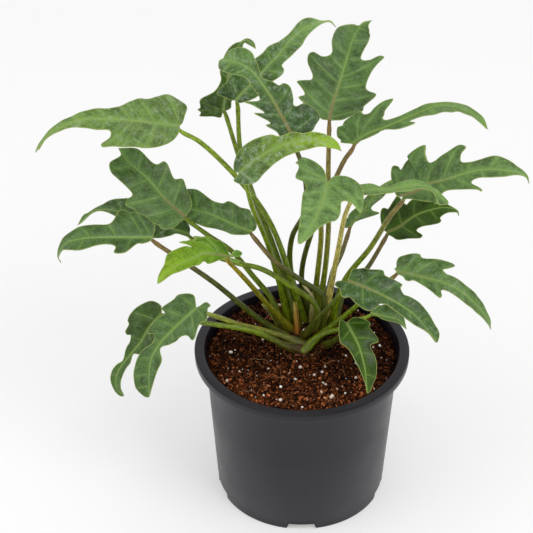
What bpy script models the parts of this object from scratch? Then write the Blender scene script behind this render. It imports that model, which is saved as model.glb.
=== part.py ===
"""Potted philodendron: one young split-leaf plant in a plain nursery pot.

The pot holds a fill of potting mix. A low crown sits on the mix, and each leaf is one stalk that rises
from the crown and one lobed blade at its top. Lengths are in millimetres until a mesh is made, which
turns them to metres. +Z is up, the pot stands on z = 0 and its axis is the Z axis.
"""

import math

import bmesh
import bpy
from mathutils import Matrix, Vector

MM = 0.001
GAP = 0.3

# Pot, turned about the Z axis.
RIM_RADIUS = 85.0
POT_HEIGHT = 133.0
SKIRT_DROP = 7.0
NECK_RADIUS = 76.2
FOOT_RADIUS = 67.4
WALL = 1.4
FLOOR = 1.6
FOOT_STEP = 11.0
POT_STEPS = 60

# Drain slots, cut where the wall meets the floor.
SLOTS = 5
SLOT_HEIGHT = 5.5
SLOT_WIDE = 25.0
SLOT_NARROW = 20.0
SLOT_INNER = 52.0
SLOT_OUTER = 76.0

# Potting mix.
MIX_TOP = 128.5
MIX_STEPS = 40
MIX_RINGS = 7
MIX_BUMP = 0.9

# Crown, an oval dome that the stalks stand on.
CROWN_CENTRE = (5.0, 24.0)
CROWN_RADII = (28.0, 34.0)
CROWN_HEIGHT = 4.5

# Leaves.
BLADE_THICK = 0.8
FOLD = 10.0
RIB_STEPS = 10
EDGE_STEPS = 2
VEIN_SLOPE = 0.5
STALK_FOOT = 2.7
STALK_LOW = 2.3
STALK_HIGH = 1.8
STALK_NECK = 1.6
STALK_END = 1.2
NECK_LENGTH = 7.0


# Each leaf, in the order that it is met from the top left round to the front.
# foot: where its stalk stands on the crown. stalk: points that the stalk passes through.
# midrib: points from the stalk to the tip. facing: which way the upper side looks at each end.
# right, left: the edge as (along the midrib, out from it), from the stalk round the lobes to the tip.
LEAVES = (
    dict(
        foot=(2, 35),
        stalk=((-25, 43, 223), (-50, 44, 264), (-79, 45, 297)),
        midrib=(
            (-94, 45, 311), (-138, 30, 326), (-167, 24, 329), (-186, 20, 323), (-193, 19, 317),
            (-198, 19, 309),
        ),
        facing=((-0.1, -0.35, 0.93), (-0.75, -0.3, 0.6)),
        right=(
            (-3, 3), (-6, 10), (-9, 20), (5, 28), (21, 23), (31, 21), (49, 12), (75, 8), (106, 3),
            (117, 3), (125, 1),
        ),
        left=(
            (3, 9), (15, 22), (35, 30), (57, 29), (65, 30), (66, 28), (58, 18), (58, 12), (72, 11),
            (90, 4), (97, 4), (112, 1), (120, 1),
        ),
    ),
    dict(
        foot=(-15, 26),
        stalk=((-23, 34, 153), (-39, 37, 176), (-56, 39, 199), (-73, 38, 214)),
        midrib=((-91, 36, 233), (-107, 46, 244), (-121, 54, 258), (-136, 60, 270), (-143, 64, 279)),
        facing=((0.3, -0.6, 0.7), (0.1, -0.6, 0.8)),
        right=((3, 11), (15, 18), (24, 21), (29, 16), (41, 20), (43, 19), (45, 13), (66, 12)),
        left=(
            (1, 15), (7, 22), (10, 21), (25, 29), (27, 26), (39, 29), (42, 24), (41, 21), (42, 19),
            (60, 17), (65, 17), (70, 13), (70, 1),
        ),
    ),
    dict(
        foot=(16, 26),
        stalk=((17, 28, 161), (-2, 24, 182), (-22, 17, 205)),
        midrib=((-40, 34, 221), (-53, 38, 224), (-67, 43, 229), (-94, 56, 230)),
        facing=((0.1, -0.6, 0.75), (0, -0.6, 0.8)),
        right=(
            (-2, 1), (-3, 4), (0, 10), (4, 13), (7, 16), (17, 15), (27, 15), (29, 12), (36, 11), (55, 16),
            (64, 12),
        ),
        left=((1, 3), (13, 8), (17, 8), (35, 12), (55, 7)),
    ),
    dict(
        foot=(10, 21),
        stalk=((12, 24, 154), (-10, 20, 179), (-32, 20, 195), (-51, 25, 197), (-71, 35, 198)),
        midrib=((-89, 50, 207), (-116, 58, 212), (-144, 67, 217), (-163, 72, 215), (-180, 74, 199)),
        facing=((0, -0.5, 0.85), (-0.3, -0.5, 0.8)),
        right=((1, 5), (9, 12), (33, 17), (68, 8), (74, 4), (86, 2), (92, 3)),
        left=((-1, 2), (10, 3), (13, 6), (25, 13), (77, 1), (97, 1)),
    ),
    dict(
        foot=(-14, 18),
        stalk=((-32, 16, 147), (-68, 0, 196), (-94, -11, 227)),
        midrib=((-113, -19, 253), (-167, -31, 260), (-178, -32, 256), (-184, -32, 244), (-182, -32, 238)),
        facing=((0, -0.4, 0.9), (-0.7, -0.3, 0.6)),
        right=(
            (-2, 10), (12, 22), (16, 21), (19, 23), (24, 22), (30, 13), (33, 11), (50, 11), (66, 6),
            (75, 4), (79, 2),
        ),
        left=((2, 3), (9, 6), (12, 6), (24, 15), (32, 15), (30, 9), (37, 7), (58, 11), (66, 8), (71, 4)),
    ),
    dict(
        foot=(-8, 23),
        stalk=((-25, 13, 163), (-45, -4, 204)),
        midrib=(
            (-56, -22, 237), (-61, -24, 240), (-76, -28, 244), (-81, -31, 243), (-100, -38, 237),
            (-110, -44, 228),
        ),
        facing=((0, -0.45, 0.9), (-0.4, -0.4, 0.8)),
        right=(
            (-6, 7), (-12, 6), (-10, 3), (-1, 2), (6, 11), (11, 12), (19, 14), (21, 13), (23, 16),
            (23, 12), (25, 15), (35, 17), (27, 11), (26, 9), (31, 12), (45, 12), (51, 6), (60, 3),
        ),
        left=(
            (-1, 3), (-4, 4), (-11, 1), (0, 1), (18, 9), (24, 9), (26, 7), (29, 8), (32, 7), (37, 7),
            (59, 3),
        ),
    ),
    dict(
        foot=(-4, 0),
        stalk=((-15, -3, 138), (-32, -5, 150), (-49, -9, 159), (-75, -9, 164), (-95, -7, 166)),
        midrib=(
            (-110, -4, 170), (-121, -7, 156), (-126, -9, 147), (-146, -13, 117), (-147, -14, 102),
            (-141, -15, 95),
        ),
        facing=((-0.3, -0.65, 0.7), (-0.45, -0.75, 0.45)),
        right=(
            (-4, 4), (-1, 13), (17, 19), (22, 18), (23, 16), (33, 15), (34, 12), (32, 10), (36, 7),
            (42, 6), (53, 2), (59, 4), (69, 5), (80, 3), (88, 2),
        ),
        left=((0, 4), (5, 8), (24, 10), (37, 7), (42, 2), (49, 5), (55, 5), (78, 5)),
    ),
    dict(
        foot=(-1, 5),
        stalk=((-13, 5, 139), (-32, 3, 148), (-49, -2, 157), (-64, -10, 170)),
        midrib=((-82, -21, 188), (-95, -26, 177), (-111, -31, 160), (-118, -34, 145), (-120, -36, 111)),
        facing=((-0.25, -0.65, 0.72), (-0.4, -0.8, 0.4)),
        right=(
            (-5, 9), (4, 17), (9, 17), (21, 18), (21, 14), (30, 15), (40, 14), (41, 12), (38, 8), (43, 5),
            (52, 9), (76, 13), (89, 9), (93, 3),
        ),
        left=(
            (-9, 2), (-10, 7), (-7, 7), (0, 14), (4, 12), (15, 18), (18, 18), (19, 12), (24, 9), (29, 9),
            (35, 7), (43, 3), (51, 9),
        ),
    ),
    dict(
        foot=(-7, 40),
        stalk=((-15, 48, 159), (-27, 56, 199), (-39, 65, 234), (-50, 75, 265)),
        midrib=(
            (-62, 88, 297), (-59, 94, 318), (-53, 104, 340), (-46, 104, 351), (-42, 103, 352),
            (-36, 100, 346),
        ),
        facing=((-0.1, -0.75, 0.6), (-0.1, -0.8, 0.6)),
        right=((4, 6), (9, 6), (18, 9), (49, 7), (60, 2), (65, 3)),
        left=(
            (-5, 1), (-5, 7), (-6, 18), (-3, 17), (-1, 20), (1, 18), (7, 19), (16, 8), (25, 5), (31, 7),
            (47, 6), (55, 3), (58, 1), (69, 2),
        ),
    ),
    dict(
        foot=(-3, 29),
        stalk=((-12, 40, 165), (-24, 46, 204), (-38, 54, 241), (-48, 63, 276)),
        midrib=(
            (-52, 72, 317), (-16, 95, 348), (-10, 99, 355), (2, 105, 362), (20, 110, 365), (26, 111, 359),
        ),
        facing=((0.1, -0.6, 0.8), (0.3, -0.6, 0.75)),
        right=(
            (0, 3), (14, 11), (26, 8), (30, 11), (40, 13), (43, 11), (44, 8), (66, 10), (72, 8), (94, 1),
        ),
        left=(
            (-3, 4), (-4, 8), (-6, 14), (6, 15), (12, 16), (41, 10), (48, 10), (64, 4), (79, 7), (84, 6),
            (92, 1), (99, 1),
        ),
    ),
    dict(
        foot=(0, 42),
        stalk=((-9, 49, 175), (-8, 44, 208), (2, 33, 242), (0, 22, 286)),
        midrib=(
            (-10, 10, 327), (-16, 17, 336), (-27, 32, 349), (-40, 47, 359), (-54, 57, 361), (-64, 63, 358),
        ),
        facing=((0.2, -0.6, 0.75), (-0.4, -0.5, 0.75)),
        right=(
            (-3, 4), (-6, 15), (-3, 20), (0, 25), (4, 26), (15, 20), (16, 13), (18, 12), (22, 14),
            (31, 16), (35, 13), (35, 10), (41, 7), (47, 3), (59, 8), (65, 12), (73, 12), (80, 7), (82, 3),
        ),
        left=(
            (1, 9), (5, 10), (13, 15), (13, 11), (25, 18), (22, 11), (32, 16), (38, 20), (33, 9), (48, 8),
            (55, 7), (66, 10), (80, 10), (85, 7),
        ),
    ),
    dict(
        foot=(-10, 33),
        stalk=((-17, 34, 166), (-27, 30, 211), (-39, 4, 265)),
        midrib=(
            (-48, -25, 315), (-35, -29, 330), (-17, -33, 344), (4, -37, 351), (21, -40, 348),
            (26, -40, 343),
        ),
        facing=((-0.1, -0.75, 0.65), (0.1, -0.75, 0.65)),
        right=((-8, 2), (1, 11), (9, 14), (36, 10), (64, 7), (74, 4), (82, 3)),
        left=((-3, 2), (-1, 6), (15, 13), (39, 10), (43, 7), (55, 7), (60, 5), (67, 6), (79, 5)),
    ),
    dict(
        foot=(13, 49),
        stalk=((18, 55, 159), (21, 58, 205), (20, 59, 262)),
        midrib=(
            (20, 60, 307), (22, 70, 312), (28, 89, 321), (34, 109, 331), (40, 125, 342), (46, 131, 350),
            (54, 131, 354),
        ),
        facing=((0, -0.65, 0.75), (0.2, -0.8, 0.5)),
        right=(
            (2, 11), (14, 24), (20, 24), (33, 30), (34, 24), (36, 21), (54, 22),
            (70, 28), (70, 25), (62, 17), (61, 11), (80, 12), (93, 8), (94, 3),
        ),
        left=(
            (-1, 6), (3, 10), (2, 16), (8, 20), (11, 27), (14, 23), (19, 28), (22, 32), (28, 22), (32, 22),
            (41, 29), (49, 30), (52, 27), (51, 19), (57, 13), (68, 16), (78, 15), (85, 6), (87, 1),
            (91, 1),
        ),
    ),
    dict(
        foot=(9, 41),
        stalk=((12, 37, 172), (14, 17, 225), (13, -6, 274)),
        midrib=((17, -20, 304), (15, -30, 299), (8, -50, 293), (2, -62, 289), (-4, -73, 285)),
        facing=((0, -0.45, 0.9), (-0.2, -0.8, 0.6)),
        right=(
            (-11, 6), (-16, 22), (-13, 24), (-10, 26), (-9, 24), (-6, 23), (2, 24), (5, 17), (11, 15),
            (17, 16), (60, 2),
        ),
        left=(
            (-5, 4), (-5, 16), (3, 26), (21, 30), (15, 21), (15, 14), (26, 16), (32, 15), (35, 11),
            (40, 7), (54, 3),
        ),
    ),
    dict(
        foot=(4, 48),
        stalk=((0, 52, 166), (7, 51, 206), (22, 49, 251), (32, 46, 280)),
        midrib=(
            (37, 42, 297), (48, 44, 304), (67, 47, 311), (82, 50, 317), (104, 52, 325), (125, 51, 320),
            (141, 48, 306),
        ),
        facing=((0, -0.3, 0.95), (0.4, -0.3, 0.85)),
        fold=25,
        right=(
            (1, 2), (7, 3), (14, 5), (23, 4), (25, 2), (36, 8), (48, 12), (51, 11), (47, 6), (59, 7),
            (69, 11), (80, 11), (88, 6), (97, 5),
        ),
        left=(
            (-7, 6), (-6, 7), (-7, 11), (-3, 17), (1, 16), (4, 18), (16, 19), (17, 16), (21, 15), (25, 17),
            (37, 20), (43, 18), (33, 12), (31, 9), (29, 7), (31, 5), (64, 4), (73, 3), (108, 4),
        ),
    ),
    dict(
        foot=(24, 32),
        stalk=((33, 31, 174), (53, 23, 214), (67, 17, 248)),
        midrib=(
            (75, 14, 268), (89, 13, 275), (95, 13, 280), (103, 12, 283), (132, 9, 295), (152, 5, 297),
            (166, 3, 293), (169, 2, 287),
        ),
        facing=((0, -0.4, 0.9), (0.4, -0.4, 0.8)),
        right=(
            (-1, 4), (3, 4), (13, 10), (28, 21), (31, 18), (32, 13), (35, 11), (60, 18), (65, 21),
            (66, 20), (56, 10), (57, 8), (76, 8), (96, 1),
        ),
        left=(
            (-4, 1), (-5, 20), (-2, 27), (2, 25), (3, 22), (8, 26), (20, 29), (25, 33), (25, 24),
            (26, 17), (29, 18), (42, 21), (52, 24), (56, 21), (52, 16), (51, 10), (57, 8), (77, 11),
            (99, 2),
        ),
    ),
    dict(
        foot=(18, 36),
        stalk=((23, 27, 174), (27, 9, 221), (31, -8, 266)),
        midrib=(
            (34, -16, 292), (52, -16, 294), (63, -16, 294), (84, -17, 299), (96, -19, 295),
            (100, -21, 291), (107, -23, 286),
        ),
        facing=((0, -0.15, 1), (0.5, -0.2, 0.8)),
        right=((2, 7), (8, 6), (16, 6), (31, 4), (43, 6), (61, 3), (66, 5), (69, 6), (70, 10)),
        left=((2, 5), (14, 6), (25, 3), (36, 5), (57, 4), (62, 2), (66, 3), (77, 2)),
    ),
    dict(
        foot=(27, 39),
        stalk=((36, 52, 152), (51, 60, 163)),
        midrib=(
            (68, 70, 195), (76, 70, 199), (92, 69, 213), (111, 67, 221), (119, 66, 221), (124, 66, 218),
            (125, 65, 214),
        ),
        facing=((0.1, -0.65, 0.75), (0.5, -0.5, 0.7)),
        right=((0, 2), (3, 5), (6, 9), (12, 12), (23, 18), (26, 17), (23, 11), (48, 13), (50, 11), (49, 9)),
        left=(
            (-2, 3), (3, 19), (12, 17), (22, 20), (25, 21), (27, 11), (29, 12), (34, 13), (42, 11),
            (57, 2),
        ),
    ),
    dict(
        foot=(20, 45),
        stalk=((26, 68, 157), (33, 79, 168)),
        midrib=((39, 92, 184), (53, 101, 199), (67, 109, 213), (80, 114, 220)),
        facing=((0.2, -0.5, 0.85), (0.3, -0.5, 0.8)),
        right=((2, 1), (6, 1), (25, 12), (23, 6), (24, 4), (36, 6), (42, 6), (49, 7)),
        left=((-2, 2), (-1, 6), (2, 7), (5, 6), (9, 7), (20, 5), (28, 5), (43, 2)),
    ),
    dict(
        foot=(9, 8),
        stalk=((19, 15, 138), (34, 14, 154), (54, 7, 181)),
        midrib=((72, 0, 208), (109, -11, 204), (124, -15, 197), (143, -20, 176), (146, -21, 167)),
        facing=((0.1, -0.45, 0.9), (0.6, -0.4, 0.7)),
        right=(
            (0, 2), (6, 4), (9, 7), (12, 7), (15, 5), (39, 15), (40, 13), (38, 8), (43, 6), (57, 8),
            (76, 5), (85, 4),
        ),
        left=(
            (-2, 1), (-1, 3), (-2, 7), (-1, 12), (14, 18), (16, 16), (30, 18), (41, 17), (37, 12),
            (34, 10), (37, 8), (42, 8), (75, 5),
        ),
    ),
    dict(
        foot=(2, 14),
        stalk=((10, 4, 155), (22, -15, 187)),
        midrib=((33, -33, 223), (51, -41, 220), (70, -49, 214), (84, -55, 206), (101, -61, 185)),
        facing=((0.1, -0.5, 0.85), (0.5, -0.5, 0.7)),
        right=(
            (-4, 2), (-7, 4), (-7, 8), (-2, 10), (2, 15), (5, 15), (7, 13), (13, 16), (22, 19), (26, 18),
            (30, 12), (30, 9), (35, 6), (40, 7), (57, 8), (77, 1), (84, 1),
        ),
        left=(
            (0, 10), (4, 12), (7, 14), (12, 15), (21, 18), (24, 15), (38, 15), (38, 12), (42, 9), (47, 10),
            (82, 6),
        ),
    ),
    dict(
        foot=(3, -1),
        stalk=((14, 6, 140), (30, 2, 150), (44, -1, 161)),
        midrib=((53, -2, 169), (64, -4, 167), (75, -6, 165), (82, -8, 157)),
        facing=((0.1, -0.4, 0.9), (0.5, -0.4, 0.75)),
        right=((1, 1), (5, 1), (9, 3), (20, 4)),
        left=((1, 3), (9, 10), (17, 9), (22, 6)),
    ),
    dict(
        foot=(19, 5),
        stalk=((25, -6, 144), (31, -22, 165)),
        midrib=((33, -34, 184), (42, -48, 173), (45, -55, 166), (47, -61, 159), (49, -68, 141)),
        facing=((0.1, -0.5, 0.85), (0.5, -0.8, 0.3)),
        right=((-4, 3), (13, 13), (18, 10), (32, 7), (51, 1)),
        left=((-1, 8), (9, 16), (11, 14), (22, 16), (23, 9), (31, 10), (47, 8), (58, 2)),
    ),
)

# Dry leaf sheaths and cut stubs: where each stands, the points that it passes through, and its two radii.
SHEATHS = (
    dict(foot=(-17, 33), path=((-24, 38, 139), (-31, 38, 148)), radii=(2.6, 1.7)),
    dict(foot=(-3, 19), path=((-4, 25, 145), (-5, 26, 158)), radii=(2.4, 1.4)),
    dict(foot=(8, 32), path=((9, 35, 151), (8, 35, 159), (1, 35, 169)), radii=(2.4, 0.9)),
)


def material(name, colour, roughness):
    """A plain surface in one colour."""
    made = bpy.data.materials.new(name)
    made.use_nodes = True
    shader = made.node_tree.nodes["Principled BSDF"]
    shader.inputs["Base Color"].default_value = (*colour, 1.0)
    shader.inputs["Roughness"].default_value = roughness
    return made


def add_object(name, data, surface, collection):
    """Links new data to the collection as an object with its own material."""
    made = bpy.data.objects.new(name, data)
    data.materials.append(surface)
    collection.objects.link(made)
    return made


def mesh_object(name, points, faces, surface, collection):
    """A mesh from points in millimetres."""
    mesh = bpy.data.meshes.new(name)
    mesh.from_pydata([Vector(p) * MM for p in points], [], faces)
    mesh.update()
    return add_object(name, mesh, surface, collection)


def catmull_rom(points, steps):
    """A smooth line through the points, spaced by the root of their distances so that it never loops."""
    points = [Vector(p) for p in points]
    padded = [2 * points[0] - points[1], *points, 2 * points[-1] - points[-2]]
    line = []
    for before, start, end, after in zip(padded, padded[1:], padded[2:], padded[3:]):
        one, two, three = ((b - a).length ** 0.5 for a, b in ((before, start), (start, end), (end, after)))
        leave = (start - before) * two / one - (end - before) * two / (one + two) + (end - start)
        arrive = (end - start) - (after - start) * two / (two + three) + (after - end) * two / three
        for step in range(steps):
            t = step / steps
            line.append(
                (2 * t**3 - 3 * t**2 + 1) * start
                + (t**3 - 2 * t**2 + t) * leave
                + (3 * t**2 - 2 * t**3) * end
                + (t**3 - t**2) * arrive
            )
    return [*line, points[-1]]


class Spine:
    """The midrib as a curve in space, with the blade's surface measured along it and out from it."""

    def __init__(self, leaf):
        self.line = catmull_rom(leaf["midrib"], 16)
        self.facing = [Vector(f).normalized() for f in leaf["facing"]]
        self.fold = math.radians(leaf.get("fold", FOLD))
        self.marks = [0.0]
        for here, there in zip(self.line, self.line[1:]):
            self.marks.append(self.marks[-1] + (there - here).length)
        self.length = self.marks[-1]

    def point(self, along):
        """The point of the midrib this far from the stalk."""
        along = min(max(along, 0.0), self.length)
        index = 0
        while index < len(self.marks) - 2 and self.marks[index + 1] < along:
            index += 1
        share = (along - self.marks[index]) / (self.marks[index + 1] - self.marks[index])
        return self.line[index].lerp(self.line[index + 1], share)

    def frame(self, along):
        """Which way the midrib runs here, the blade's upper side and its right side."""
        along = min(max(along, 0.0), self.length)
        forward = (self.point(along + 2.0) - self.point(along - 2.0)).normalized()
        facing = self.facing[0].lerp(self.facing[1], along / self.length)
        upper = (facing - forward * facing.dot(forward)).normalized()
        return forward, upper, forward.cross(upper)

    def at(self, along, out):
        """The point of the blade this far along the midrib and this far out, positive to the right."""
        forward, upper, right = self.frame(along)
        past = along - min(max(along, 0.0), self.length)
        start = self.point(along) + forward * past
        return start + right * out * math.cos(self.fold) + upper * abs(out) * math.sin(self.fold)


def vein_feet(edge, length):
    """Where the side vein to each point of the edge leaves the midrib: never going back from point to point,
    and held back where the edge turns back into a notch, so that the blade doesn't fold over itself."""
    feet = []
    reached = 0.0
    for along, out in edge:
        reached = min(max(reached, along - VEIN_SLOPE * abs(out)), length)
        feet.append(reached)
    limit = length
    for i in reversed(range(1, len(edge))):
        (along, out), (next_along, next_out) = edge[i - 1], edge[i]
        if next_out < out:
            limit = min(limit, (next_along * out - along * next_out) / (out - next_out))
        feet[i] = min(feet[i], max(limit, 0.0))
    return feet


def half_blade(spine, lobes, side, ribs, points):
    """Adds one half of a blade to the points, and returns its faces. ribs are the midrib's distances."""
    edge = catmull_rom([(0.0, 0.0), *lobes, (spine.length, 0.0)], EDGE_STEPS)[1:-1]
    feet = vein_feet(edge, spine.length)
    first = len(points)
    points += [spine.at(along, side * out) for along, out in edge]
    faces = []
    rib, spot = 0, 0
    while rib < len(ribs) - 1 or spot < len(edge) - 1:
        if spot == len(edge) - 1 or (rib < len(ribs) - 1 and ribs[rib + 1] <= feet[spot + 1]):
            faces.append((rib, rib + 1, first + spot))
            rib += 1
        else:
            faces.append((rib, first + spot + 1, first + spot))
            spot += 1
    return [tuple(reversed(face)) for face in faces] if side > 0 else faces


def build_blade(name, leaf, surface, collection):
    """A lobed blade: a sheet ruled out from its midrib to its edge, given a thickness."""
    spine = Spine(leaf)
    ribs = [spine.length * i / RIB_STEPS for i in range(RIB_STEPS + 1)]
    points = [spine.at(along, 0.0) for along in ribs]
    faces = half_blade(spine, leaf["right"], 1, ribs, points)
    faces += half_blade(spine, leaf["left"], -1, ribs, points)
    blade = mesh_object(name, points, faces, surface, collection)
    solid = blade.modifiers.new("thickness", "SOLIDIFY")
    solid.thickness = BLADE_THICK * MM
    solid.offset = 0.0
    return blade


def crown_height(x, y):
    """How high the crown's top is here, above its flat underside."""
    across = (x - CROWN_CENTRE[0]) / CROWN_RADII[0]
    deep = (y - CROWN_CENTRE[1]) / CROWN_RADII[1]
    return CROWN_HEIGHT * math.sqrt(max(0.0, 1.0 - across**2 - deep**2))


def clearance(radius, lean, normal):
    """How far off a surface a tube's flat end stands, so that its rim comes within GAP of the surface."""
    return GAP + radius * math.sqrt(max(0.0, 1.0 - lean.dot(normal) ** 2))


def on_crown(foot, towards, radius):
    """Where a tube of this radius starts, just above the crown, when it leans towards a point."""
    x, y = foot
    rise = crown_height(x, y)
    ground = Vector((x, y, MIX_TOP + GAP + rise))
    steepness = ((x - CROWN_CENTRE[0]) / CROWN_RADII[0] ** 2, (y - CROWN_CENTRE[1]) / CROWN_RADII[1] ** 2)
    normal = Vector((*steepness, rise / CROWN_HEIGHT**2)).normalized()
    lean = (Vector(towards) - ground).normalized()
    return ground + normal * clearance(radius, lean, normal)


def build_tube(name, path, radii, surface, collection):
    """A round tube along a smooth line, with a radius at each point and flat ends."""
    curve = bpy.data.curves.new(name, "CURVE")
    curve.dimensions = "3D"
    curve.bevel_depth = MM
    curve.bevel_resolution = 1
    curve.resolution_u = 2
    curve.use_fill_caps = True
    spline = curve.splines.new("BEZIER")
    spline.bezier_points.add(len(path) - 1)
    for knot, place, radius in zip(spline.bezier_points, path, radii):
        knot.co = Vector(place) * MM
        knot.radius = radius
        knot.handle_left_type = "AUTO"
        knot.handle_right_type = "AUTO"
    return add_object(name, curve, surface, collection)


def build_stalk(name, leaf, surface, collection):
    """A leaf stalk, from the crown to just under the start of the blade's midrib."""
    spine = Spine(leaf)
    _, upper, _ = spine.frame(0.0)
    start = spine.at(2.0, 0.0)
    lean = (Vector(leaf["stalk"][-1]) - start).normalized()
    end = start - upper * (BLADE_THICK / 2 + clearance(STALK_END, lean, upper))
    neck = end + lean * NECK_LENGTH
    path = [on_crown(leaf["foot"], leaf["stalk"][0], STALK_FOOT), *leaf["stalk"], neck, end]
    count = len(leaf["stalk"])
    radii = [STALK_LOW + (STALK_HIGH - STALK_LOW) * i / count for i in range(count)]
    return build_tube(name, path, [STALK_FOOT, *radii, STALK_NECK, STALK_END], surface, collection)


def build_sheath(name, sheath, surface, collection):
    """A dry sheath or stub that stands on the crown."""
    wide, narrow = sheath["radii"]
    path = [on_crown(sheath["foot"], sheath["path"][0], wide), *sheath["path"]]
    count = len(sheath["path"])
    radii = [wide + (narrow - wide) * i / count for i in range(count + 1)]
    return build_tube(name, path, radii, surface, collection)


def outer_radius(z):
    """The pot body's outer radius at this height, below the rim."""
    return FOOT_RADIUS + (NECK_RADIUS - FOOT_RADIUS) * z / (POT_HEIGHT - SKIRT_DROP)


def pot_profile():
    """Half of the pot's section, as (radius, height), from the floor's middle over the rim and back."""
    neck = POT_HEIGHT - SKIRT_DROP
    inner_rim = RIM_RADIUS - 8.0
    return (
        (0.0, FLOOR),
        (outer_radius(0.0) - WALL - 2.0, FLOOR),
        (outer_radius(4.0) - WALL, 4.0),
        (NECK_RADIUS - WALL, neck - 2.0),
        (NECK_RADIUS - WALL + 0.8, neck + 2.0),
        (inner_rim, POT_HEIGHT - 0.8),
        (inner_rim + 0.6, POT_HEIGHT),
        (RIM_RADIUS - 0.8, POT_HEIGHT),
        (RIM_RADIUS, POT_HEIGHT - 0.9),
        (RIM_RADIUS - 0.4, neck + 0.5),
        (RIM_RADIUS - 0.8, neck),
        (RIM_RADIUS - 1.8, neck),
        (RIM_RADIUS - 1.6, POT_HEIGHT - 1.6),
        (inner_rim + 1.2, POT_HEIGHT - 1.6),
        (NECK_RADIUS + 0.5, neck + 1.5),
        (NECK_RADIUS, neck - 1.5),
        (outer_radius(FOOT_STEP), FOOT_STEP),
        (FOOT_RADIUS + 0.3, FOOT_STEP - 1.0),
        (FOOT_RADIUS, 0.8),
        (FOOT_RADIUS - 0.8, 0.0),
        (0.0, 0.0),
    )


def slot_cutters(collection):
    """Wedges that cut the drain slots, wider at the bottom, in one hidden mesh."""
    wedges = bmesh.new()
    length = SLOT_OUTER - SLOT_INNER
    for index in range(SLOTS):
        made = bmesh.ops.create_cube(wedges, size=1.0)["verts"]
        for corner in made:
            high = corner.co.z > 0
            corner.co.y *= (SLOT_NARROW if high else SLOT_WIDE) * MM
            corner.co.x = ((SLOT_INNER + SLOT_OUTER) / 2 + corner.co.x * length) * MM
            corner.co.z = (SLOT_HEIGHT if high else -1.0) * MM
        turn = Matrix.Rotation(math.radians(-90.0 + 360.0 * index / SLOTS), 4, "Z")
        bmesh.ops.transform(wedges, matrix=turn, verts=made)
    mesh = bpy.data.meshes.new("drain_slots")
    wedges.to_mesh(mesh)
    wedges.free()
    cutter = bpy.data.objects.new("drain_slots", mesh)
    cutter.hide_render = True
    cutter.display_type = "WIRE"
    collection.objects.link(cutter)
    return cutter


def build_pot(collection, cutters):
    """The nursery pot: its section turned about Z, less the drain slots."""
    profile = pot_profile()
    mesh = bpy.data.meshes.new("pot")
    points = [(radius * MM, 0.0, height * MM) for radius, height in profile]
    mesh.from_pydata(points, [(i, i + 1) for i in range(len(points) - 1)], [])
    pot = add_object("pot", mesh, material("black_plastic", (0.035, 0.036, 0.04), 0.5), collection)
    turned = pot.modifiers.new("turned", "SCREW")
    turned.steps = POT_STEPS
    turned.render_steps = POT_STEPS
    turned.use_merge_vertices = True
    turned.merge_threshold = 0.0001
    slots = pot.modifiers.new("drain slots", "BOOLEAN")
    slots.operation = "DIFFERENCE"
    slots.solver = "EXACT"
    slots.object = slot_cutters(cutters)
    return pot


def mix_height(x, y):
    """The potting mix's surface: lumpy, a little higher in the middle, and flat under the crown."""
    across = (x - CROWN_CENTRE[0]) / CROWN_RADII[0]
    deep = (y - CROWN_CENTRE[1]) / CROWN_RADII[1]
    away = min(max((math.hypot(across, deep) - 1.45) / 0.4, 0.0), 1.0)
    lumps = math.sin(0.23 * x + 1.3) * math.cos(0.19 * y) + 0.6 * math.sin(0.41 * x - 0.37 * y)
    return MIX_TOP + away * MIX_BUMP * lumps


def build_mix(collection):
    """The potting mix, one body that fills the pot to just under its rim."""
    shrink = math.cos(math.pi / POT_STEPS)
    top_radius = (NECK_RADIUS - WALL) * shrink - GAP
    low_radius = (outer_radius(4.0) - WALL) * shrink - GAP - 2.5
    turns = [2 * math.pi * i / MIX_STEPS for i in range(MIX_STEPS)]
    points = [(0.0, 0.0, mix_height(0.0, 0.0))]
    for ring in range(1, MIX_RINGS + 1):
        radius = top_radius * ring / MIX_RINGS
        for turn in turns:
            x, y = radius * math.cos(turn), radius * math.sin(turn)
            level = mix_height(x, y) if ring < MIX_RINGS else MIX_TOP - 1.5
            points.append((x, y, level))
    points += [(low_radius * math.cos(t), low_radius * math.sin(t), FLOOR + GAP) for t in turns]
    points.append((0.0, 0.0, FLOOR + GAP))
    faces = []
    for i in range(MIX_STEPS):
        after = (i + 1) % MIX_STEPS
        faces.append((0, 1 + i, 1 + after))
        for ring in range(MIX_RINGS):
            low, high = 1 + ring * MIX_STEPS, 1 + (ring + 1) * MIX_STEPS
            faces.append((low + i, high + i, high + after, low + after))
        outer = 1 + MIX_RINGS * MIX_STEPS
        faces.append((outer + after, outer + i, len(points) - 1))
    brown = material("potting_mix", (0.12, 0.05, 0.03), 0.95)
    return mesh_object("potting_mix", points, faces, brown, collection)


def build_crown(collection):
    """The crown: the upper part of a flattened ball, closed flat underneath."""
    dome = bmesh.new()
    bmesh.ops.create_uvsphere(dome, u_segments=24, v_segments=10, radius=1.0)
    whole = [*dome.verts, *dome.edges, *dome.faces]
    bmesh.ops.bisect_plane(dome, geom=whole, plane_co=(0, 0, 0), plane_no=(0, 0, -1), clear_outer=True)
    bmesh.ops.holes_fill(dome, edges=[edge for edge in dome.edges if edge.is_boundary])
    size = Matrix.Diagonal((CROWN_RADII[0] * MM, CROWN_RADII[1] * MM, CROWN_HEIGHT * MM, 1.0))
    place = Matrix.Translation(Vector((*CROWN_CENTRE, MIX_TOP + GAP)) * MM)
    bmesh.ops.transform(dome, matrix=place @ size, verts=dome.verts)
    mesh = bpy.data.meshes.new("crown")
    dome.to_mesh(mesh)
    dome.free()
    return add_object("crown", mesh, material("crown", (0.1, 0.06, 0.03), 0.9), collection)


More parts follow.
